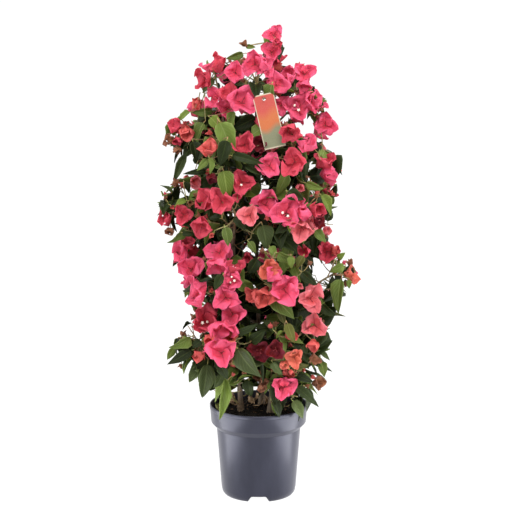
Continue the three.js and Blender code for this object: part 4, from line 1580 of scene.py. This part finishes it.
def bract_template(order):
    """A papery bract, hollow in the middle, with a ruffled rim and a crinkled face."""
    dice = Dice(BRACT_SEED + order)
    fold = dice.between(0.4, 0.95)
    curl = dice.between(-0.1, 0.4)
    ruffle = dice.between(0.08, 0.2)
    phase = dice.between(0, 6)

    def lift(along, aside):
        cup = 0.24 * math.sin(math.pi * along**0.8)
        crease = fold * abs(aside) ** 1.15
        edge = ruffle * math.sin(9 * along + phase + (3 if aside > 0 else 0)) * abs(aside) * 4
        crinkle = 0.15 * along * noise.noise(Vector((aside * 7, along * 6, 3 * order)))
        return crease - curl * along**2.4 - cup + edge + crinkle

    def waver(along, side):
        return 0.07 * math.sin(10 * along + phase + 2 * side)

    return blade_template(0.46, dice.between(0.6, 0.92), lift, 0.009, 1.0, (6, 8), waver)


def bud_template():
    """A narrow cupped bract with few faces, for shut buds."""
    return blade_template(0.5, 0.8, lambda along, aside: 0.7 * abs(aside) - 0.3 * along, 0.02, 0.8, (2, 4))


def spin_profile(shape, profile, steps):
    """Turns a list of radius and height round the upright axis."""
    verts = [shape.verts.new((radius, 0, height)) for radius, height in profile]
    edges = [shape.edges.new(pair) for pair in zip(verts, verts[1:])]
    bmesh.ops.spin(
        shape,
        geom=verts + edges,
        cent=(0, 0, 0),
        axis=(0, 0, 1),
        angle=2 * math.pi,
        steps=steps,
        use_merge=True,
    )
    bmesh.ops.remove_doubles(shape, verts=shape.verts, dist=1e-6)
    bmesh.ops.recalc_face_normals(shape, faces=shape.faces)


# Radius and height of a small flower of unit length, and how far in the dips between its lobes lie
FLOWER_TUBE_PROFILE = [(0, 0), (0.03, 0.03), (0.06, 0.2), (0.035, 0.45), (0.07, 0.85), (0.05, 0.99), (0, 1)]
STAR_PROFILE = [(0, 0.99), (0.1, 1.0), (0.26, 1.05), (0.1, 1.04), (0, 1.01)]
STAR_LOBES = 5
STAR_RIM = 0.2
STAR_DIP = 0.6


def turn_about(shape, verts, angle, axis):
    bmesh.ops.rotate(shape, verts=verts, cent=(0, 0, 0), matrix=Matrix.Rotation(angle, 3, axis))


def flower_template(shape):
    """Lays an upright flower down along a blade's axis."""
    turn_about(shape, shape.verts, -math.pi / 2, "X")
    return Template(shape, lambda face: False)


def tube_template():
    """A small flower's tube of unit length, swollen at its foot and under its mouth."""
    shape = bmesh.new()
    spin_profile(shape, FLOWER_TUBE_PROFILE, 6)
    return flower_template(shape)


def star_template():
    """The star of pale lobes that opens at a tube's mouth."""
    shape = bmesh.new()
    spin_profile(shape, STAR_PROFILE, 2 * STAR_LOBES)
    for vert in shape.verts:
        angle = math.atan2(vert.co.y, vert.co.x)
        if math.hypot(vert.co.x, vert.co.y) > STAR_RIM and math.cos(STAR_LOBES * angle) < 0:
            vert.co.x *= STAR_DIP
            vert.co.y *= STAR_DIP
    return flower_template(shape)


def crumb_template(order):
    """A small lump with flat faces."""
    dice = Dice(CRUMB_SEED + order)
    shape = bmesh.new()
    bmesh.ops.create_icosphere(shape, subdivisions=1, radius=0.5)
    for vert in shape.verts:
        vert.co += dice.drift(0.16)
    return Template(shape, lambda face: True)


def lay_out(name, templates, blades):
    """One joined mesh of many small shapes: each row is a kind, a place, three axes and a shade."""
    points, corners, starts, maps, sharps, shades = [], [], [], [], [], []
    first_point, first_corner = 0, 0
    for kind, template in enumerate(templates):
        rows = [blade for blade in blades if blade[0] == kind]
        if not rows:
            continue
        places = np.array([row[1] for row in rows]) * MM
        axes = np.array([[list(axis) for axis in row[2]] for row in rows]) * MM
        count = len(rows)
        laid = np.einsum("nj,kji->kni", template.points, axes) + places[:, None, :]
        step = np.arange(count)[:, None]
        points.append(laid.reshape(-1, 3))
        corners.append((template.corners[None, :] + first_point + step * len(template.points)).ravel())
        starts.append((template.starts[None, :] + first_corner + step * len(template.corners)).ravel())
        maps.append(np.tile(template.map, (count, 1)))
        sharps.append(np.tile(template.sharp, count))
        shades.append(np.repeat([float(row[3]) for row in rows], len(template.points)))
        first_point += count * len(template.points)
        first_corner += count * len(template.corners)
    mesh = bpy.data.meshes.new(name)
    mesh.vertices.add(first_point)
    mesh.vertices.foreach_set("co", np.concatenate(points).ravel())
    mesh.loops.add(first_corner)
    mesh.loops.foreach_set("vertex_index", np.concatenate(corners).astype(np.int32))
    all_starts = np.concatenate(starts).astype(np.int32)
    mesh.polygons.add(len(all_starts))
    mesh.polygons.foreach_set("loop_start", all_starts)
    mesh.update(calc_edges=True)
    sharp = mesh.attributes.new("sharp_face", "BOOLEAN", "FACE")
    sharp.data.foreach_set("value", np.concatenate(sharps))
    shade = mesh.attributes.new("shade", "FLOAT", "POINT")
    shade.data.foreach_set("value", np.concatenate(shades).astype(np.float32))
    blade_map = mesh.uv_layers.new(name="UVMap")
    blade_map.uv.foreach_set("vector", np.concatenate(maps).ravel().astype(np.float32))
    mesh.validate()
    return mesh


# The pot: faces round it, the round of its edges, and the angle from which an edge is rounded
POT_STEPS = 120
POT_EDGE = 0.35
POT_CREASE = 0.5

# The foot's notches: how many, their height, half their width below and above, their round and their place
NOTCHES = 3
NOTCH_HEIGHT = 10.5
NOTCH_FOOT = 19
NOTCH_TOP = 13
NOTCH_ROUND = 3
NOTCH_OUT = 58
NOTCH_LENGTH = 56

# The drain holes: how many, their radius, their circle's radius, and where and how far they cut
DRAINS = 6
DRAIN_RADIUS = 4.5
DRAIN_CIRCLE = 40
DRAIN_HEIGHT = 13
DRAIN_DEPTH = 8

# Radius and height up the outside, down the inside and under the floor
OUTSIDE = [
    (60.5, 0), (62.2, 2.4), (63.6, 4.5), (65, 12), (73, 119), (75.4, 121.6), (82.0, 128.6),
    (82.4, 129.4), (84.3, 152.6), (85, 153.6), (85, 158.6), (84.4, 160),
]
INSIDE = [
    (83.0, 160), (82.6, 158.8), (82.5, 150), (80.8, 129.6), (71.4, 119.4), (63.4, 14.4), (62.6, 13.8),
    (0, 13.8),
]
UNDERSIDE = [(0, 12), (61.4, 12), (58.7, 0.4), (59.0, 0)]


def round_edges(shape, edges, offset, segments=3):
    """Edges made round by a bevel of a few faces."""
    bmesh.ops.bevel(
        shape,
        geom=edges,
        offset=offset,
        offset_type="OFFSET",
        segments=segments,
        profile=0.5,
        affect="EDGES",
        clamp_overlap=True,
        material=-1,
    )


def creased(shape, least):
    """Edges where two faces meet at more than an angle."""
    shape.normal_update()
    return [edge for edge in shape.edges if edge.is_manifold and edge.calc_face_angle(0) > least]


def make_pot():
    """The pot, turned from its profile, with its edges rounded and its openings cut."""
    shape = bmesh.new()
    metres = [(radius * MM, height * MM) for radius, height in UNDERSIDE + OUTSIDE + INSIDE]
    spin_profile(shape, metres, POT_STEPS)
    round_edges(shape, creased(shape, POT_CREASE), POT_EDGE * MM, 2)
    mesh = mesh_from(shape, "nursery_pot")
    body = bpy.data.objects.new("nursery_pot", mesh)
    bpy.context.scene.collection.objects.link(body)
    cutters = make_pot_cutters()
    cut = body.modifiers.new("openings", "BOOLEAN")
    cut.operation = "DIFFERENCE"
    cut.solver = "EXACT"
    cut.object = cutters
    made = bpy.data.meshes.new_from_object(body.evaluated_get(bpy.context.evaluated_depsgraph_get()))
    for thing in (body, cutters):
        bpy.data.objects.remove(thing)
    return made


def runs_inward(edge):
    """Whether an edge of a notch's block has an end above the foot and runs along its length."""
    first, last = (vert.co for vert in edge.verts)
    return max(first.z, last.z) > 0 and abs(first.y - last.y) > 0.5 * NOTCH_LENGTH * MM


def make_pot_cutters():
    """Three tapered notches in the foot and six drain holes in the floor."""
    shape = bmesh.new()
    for i in range(NOTCHES):
        earlier = set(shape.verts)
        made = bmesh.ops.create_cube(shape, size=1)["verts"]
        for vert in made:
            half = NOTCH_FOOT if vert.co.z < 0 else NOTCH_TOP
            z = -1 if vert.co.z < 0 else NOTCH_HEIGHT
            vert.co = Vector((2 * half * vert.co.x, NOTCH_LENGTH * vert.co.y - NOTCH_OUT, z)) * MM
        inward = [edge for edge in shape.edges if edge.verts[0] in made and runs_inward(edge)]
        round_edges(shape, inward, NOTCH_ROUND * MM)
        made = [vert for vert in shape.verts if vert not in earlier]
        turn_about(shape, made, i * math.tau / NOTCHES, "Z")
    for i in range(DRAINS):
        made = bmesh.ops.create_cone(
            shape,
            cap_ends=True,
            segments=20,
            radius1=DRAIN_RADIUS * MM,
            radius2=DRAIN_RADIUS * MM,
            depth=DRAIN_DEPTH * MM,
        )["verts"]
        bmesh.ops.translate(shape, verts=made, vec=(DRAIN_CIRCLE * MM, 0, DRAIN_HEIGHT * MM))
        turn_about(shape, made, i * math.tau / DRAINS, "Z")
    cutters = bpy.data.objects.new("cutters", mesh_from(shape, "cutters"))
    bpy.context.scene.collection.objects.link(cutters)
    return cutters


# The compost and what lies on it
SOIL_RADIUS = 80.2
SOIL_RINGS = 64
SOIL_STEPS = 180
SOIL_SIDE = [(0, 14.2), (62.8, 14.2), (70.6, 119), (79.6, 130)]
SCATTER_RADIUS = 78
CRUMB_KINDS = 4
DRY_LEAVES = 7
DRY_LEAVES_IN_MIDDLE = 2


def soil_height(x, y):
    """The lumpy top of the compost, lower towards the pot's wall."""
    radius = math.hypot(x, y)
    base = mix(SOIL_TOP, SOIL_EDGE, min(max((radius - SOIL_PLATEAU) / SOIL_FALL, 0), 1))
    lumps = noise.noise(Vector((x, y, 0)) * 0.07) * 2.4 + noise.noise(Vector((x, y, 9)) * 0.24) * 1.6
    return base + lumps + noise.noise(Vector((x, y, 4)) * 0.7) * 0.8


def make_soil():
    """The compost down to the pot's floor, with a lumpy top."""
    shape = bmesh.new()
    top = [(SOIL_RADIUS * i / SOIL_RINGS, SOIL_TOP) for i in range(SOIL_RINGS, 0, -1)]
    profile = SOIL_SIDE + top + [(0, SOIL_TOP)]
    spin_profile(shape, [(radius * MM, height * MM) for radius, height in profile], SOIL_STEPS)
    for vert in shape.verts:
        if vert.co.z > (SOIL_TOP - 1) * MM:
            vert.co.z = soil_height(vert.co.x / MM, vert.co.y / MM) * MM
    return mesh_from(shape, "compost_surface")


def scatter(count, seed, smallest, largest, flat):
    """Bits strewn over the compost: each a random turn, size and place."""
    rows = []
    for k in range(count):
        dice = Dice(seed + k)
        angle = dice.between(0, math.tau)
        radius = SCATTER_RADIUS * math.sqrt(dice.roll())
        x = radius * math.cos(angle)
        y = radius * math.sin(angle)
        size = dice.between(smallest, largest)
        turn = Matrix.Rotation(dice.between(0, math.tau), 3, dice.drift(0.4) + UP)
        sides = ((1, 0, 0), (0, dice.between(0.5, 1), 0), (0, 0, flat))
        axes = [turn @ Vector(side) * size for side in sides]
        place = Vector((x, y, soil_height(x, y) + 0.2 * size * flat))
        rows.append((int(dice.roll() * CRUMB_KINDS), place, axes, dice.roll()))
    return rows


def fallen_leaves():
    """Dry curled leaves and bracts that lie on the compost between the stems."""
    rows = []
    for k in range(DRY_LEAVES):
        dice = Dice(DRY_SEED + k)
        in_middle = k < DRY_LEAVES_IN_MIDDLE
        x = dice.between(-8, 6) if in_middle else dice.between(-60, 60)
        y = dice.between(16, 34) if in_middle else dice.between(30, 66)
        aim = Vector((dice.between(-1, 1), dice.between(-1, 1), dice.between(0.0, 0.7))).normalized()
        face = (UP + dice.drift(0.5)).normalized()
        axes = blade_axes(aim, face, dice.between(14, 27), 1.1, dice.between(-1, 1))
        place = Vector((x, y, soil_height(x, y) + 1.5))
        rows.append((int(dice.roll() * BRACT_KINDS), place, axes, dice.roll()))
    return rows


# The label, and where on its twig it hangs
LABEL_LENGTH = 90
LABEL_WIDTH = 35
LABEL_CORNER = 6
LABEL_ABOVE_HOLE = 8
LABEL_HOLE = 3
LABEL_THICKNESS = 0.7
LABEL_BENDS = 10
LABEL_BOW = 2.2
LABEL_TWIST = 0.012
LABEL_LEAN = math.radians(-13)
LABEL_HANGS_AT = 0.93


def make_label():
    """A card with cut corners and a punched hole, a little bowed, hung on the bare twig."""
    twig = WOOD[-1]
    hook = twig.point(LABEL_HANGS_AT)
    slack = LABEL_HOLE - twig.radius_at(LABEL_HANGS_AT) - CLEAR
    shape = bmesh.new()
    half = LABEL_WIDTH / 2
    top = LABEL_ABOVE_HOLE
    foot = top - LABEL_LENGTH
    shoulder = top - LABEL_CORNER
    inner = half - LABEL_CORNER
    ring = bmesh.ops.create_circle(shape, cap_ends=False, segments=20, radius=LABEL_HOLE)["verts"]
    corners = [(-half, foot), (half, foot), (half, shoulder), (inner, top), (-inner, top), (-half, shoulder)]
    border = [shape.verts.new((x, y, 0)) for x, y in corners]
    rim = [shape.edges.new(pair) for pair in zip(border, border[1:] + border[:1])]
    hole = [edge for edge in shape.edges if edge.verts[0] in ring and edge.verts[1] in ring]
    bmesh.ops.triangle_fill(shape, edges=rim + hole, use_beauty=True)
    for level in range(LABEL_BENDS - 1):
        y = foot + LABEL_LENGTH * (level + 0.5) / LABEL_BENDS
        geometry = shape.verts[:] + shape.edges[:] + shape.faces[:]
        bmesh.ops.bisect_plane(shape, geom=geometry, plane_co=(0, y, 0), plane_no=(0, 1, 0), dist=1e-5)
    layer = shape.loops.layers.uv.verify()
    for face in shape.faces:
        for loop in face.loops:
            spot = loop.vert.co
            loop[layer].uv = (spot.x / LABEL_WIDTH + 0.5, (spot.y - foot) / LABEL_LENGTH)
    for vert in shape.verts:
        down = (vert.co.y - top) / LABEL_LENGTH
        vert.co.z = LABEL_BOW * math.sin(math.pi * down) + LABEL_TWIST * vert.co.x
    if sum(face.normal.z for face in shape.faces) < 0:
        bmesh.ops.reverse_faces(shape, faces=shape.faces)
    bmesh.ops.solidify(shape, geom=shape.faces[:], thickness=LABEL_THICKNESS)
    if shape.calc_volume(signed=True) < 0:
        bmesh.ops.reverse_faces(shape, faces=shape.faces)
    turn = Matrix.Rotation(LABEL_LEAN, 3, "Y") @ Matrix.Rotation(math.pi / 2, 3, "X")
    for vert in shape.verts:
        vert.co = (turn @ vert.co + Vector((hook.x, hook.y, hook.z - slack))) * MM
    return mesh_from(shape, "plant_label", smooth=False)


# Putting it together


def nodes_like(*endings):
    """The part's nodes whose names end so."""
    return [name for name in sorted(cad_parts) if name.endswith(endings)]


# What is strewn on the compost: how many, the first seed, the smallest and largest, and how flat
CRUMBS = (1500, 3000, 1.6, 6, 0.7)
BARK_BITS = (150, 6000, 2, 6.5, 0.35)


def make_joined(name, templates, rows, material, replaced=()):
    make_piece(name, lay_out(name, templates, rows), material, replaced)


def make_tubes(name, limbs, sides, spacing, material, replaced):
    make_piece(name, mesh_from(tubes(name, limbs, sides, spacing), name), material, replaced)


def make_ground():
    """The pot, the compost and what lies on it."""
    make_piece("nursery_pot", make_pot(), pot_finish(), ["pot"])
    soil = soil_finish("damp_compost", (0.005, 0.004, 0.003), (0.018, 0.013, 0.009))
    make_piece("compost_surface", make_soil(), soil, ["compost"])
    crumbs = [crumb_template(order) for order in range(CRUMB_KINDS)]
    make_joined("compost_crumbs", crumbs, scatter(*CRUMBS), soil)
    bits = soil_finish("bark_chips", (0.06, 0.03, 0.015), (0.2, 0.12, 0.06))
    make_joined("bark_bits", crumbs, scatter(*BARK_BITS), bits)


def make_foliage():
    """Leaves, bracts, twigs, stalks and small flowers, each kind joined, in place of the masses."""
    masses = nodes_like("_foliage")
    leaves = [leaf_template(order) for order in range(LEAF_KINDS)]
    bracts = [bract_template(order) for order in range(BRACT_KINDS)] + [bud_template()]
    dry = plain_finish("dry_leaves", 0.8, (0.2, 0.12, 0.06), (0.42, 0.28, 0.16))
    make_joined("fallen_leaves", bracts, fallen_leaves(), dry)
    make_tubes("twigs", TWIGS + THORNS, 6, 7, twig_finish(), masses)
    make_tubes("stalks", STALKS, 4, 8, stalk_finish(), masses)
    for tone, colours in GREENS.items():
        name = f"{tone}_leaves"
        make_joined(name, leaves, LEAVES[tone], leaf_finish(name, *colours), replaced=masses)
    for tone, colours in REDS.items():
        name = f"{tone}_bracts"
        make_joined(name, bracts, BRACTS[tone], bract_finish(name, *colours), replaced=masses)
    tube = plain_finish("flower_tubes", 0.5, (0.2, 0.012, 0.03), (0.34, 0.06, 0.05))
    make_joined("flower_tubes", [tube_template()], FLOWERS, tube)
    star = plain_finish("flower_stars", 0.5, (0.9, 0.86, 0.7), (0.95, 0.93, 0.84))
    make_joined("flower_stars", [star_template()], [row for row in FLOWERS if row[3]], star)


def make_pieces():
    make_ground()
    wood = nodes_like("_stem", "_bough") + ["label_twig"]
    make_piece("stems_and_boughs", make_bark(), bark_finish(), wood)
    make_piece("plant_label", make_label(), card_finish(), ["label_card"])
    make_foliage()


# The studio, in metres: each light's place, what it faces, its width and height, and its watts
LIGHTS = {
    "left_panel": ((-0.18, -0.22, 0.08), (0, -0.22, 0.08), (0.44, 0.158), 1.02),
    "right_panel": ((0.18, -0.22, 0.08), (0, -0.22, 0.08), (0.44, 0.158), 1.08),
    "left_softbox": ((-2.2, -0.6, 1.2), (0, 0, 0.4), (2.6, 2.2), 60),
    "right_softbox": ((2.3, -0.5, 1.2), (0, 0, 0.4), (2.4, 2.2), 70),
    "front_softbox": ((0.2, -2.1, 2.6), (0, 0, 0.5), (1.8, 1.8), 88),
    "back_softbox": ((0.5, 1.9, 2.4), (0, 0, 0.5), (1.4, 1.4), 45),
}
SKY_STRENGTH = 0.55
FLOOR_HALF = 40


def softbox(name, place, target, size, power):
    """A flat soft light that faces a point."""
    data = bpy.data.lights.new(name, "AREA")
    data.shape = "RECTANGLE"
    data.size, data.size_y = size
    data.energy = power
    light = bpy.data.objects.new(name, data)
    light.location = place
    light.rotation_euler = (Vector(target) - Vector(place)).to_track_quat("-Z", "Y").to_euler()
    bpy.context.scene.collection.objects.link(light)


def make_studio():
    """Soft lights, a plain white sky and a plain pale floor."""
    for name, row in LIGHTS.items():
        softbox(name, *row)
    world = bpy.data.worlds.new("studio")
    world.use_nodes = True
    sky = world.node_tree.nodes["Background"]
    sky.inputs["Color"].default_value = (1, 1, 1, 1)
    sky.inputs["Strength"].default_value = SKY_STRENGTH
    bpy.context.scene.world = world
    bpy.context.scene.view_settings.view_transform = "Standard"
    shape = bmesh.new()
    bmesh.ops.create_grid(shape, x_segments=1, y_segments=1, size=FLOOR_HALF)
    floor = bpy.data.objects.new("floor", mesh_from(shape, "floor"))
    bpy.context.scene.collection.objects.link(floor)
    finish = Finish("studio_floor", 0.9, 0.0)
    finish.colour((0.08, 0.08, 0.08))
    finish.set("Emission Color", (1, 1, 1, 1))
    finish.set("Emission Strength", 1.0)
    floor.data.materials.append(finish.material)


grow_plant()
make_pieces()
make_studio()
note_size()
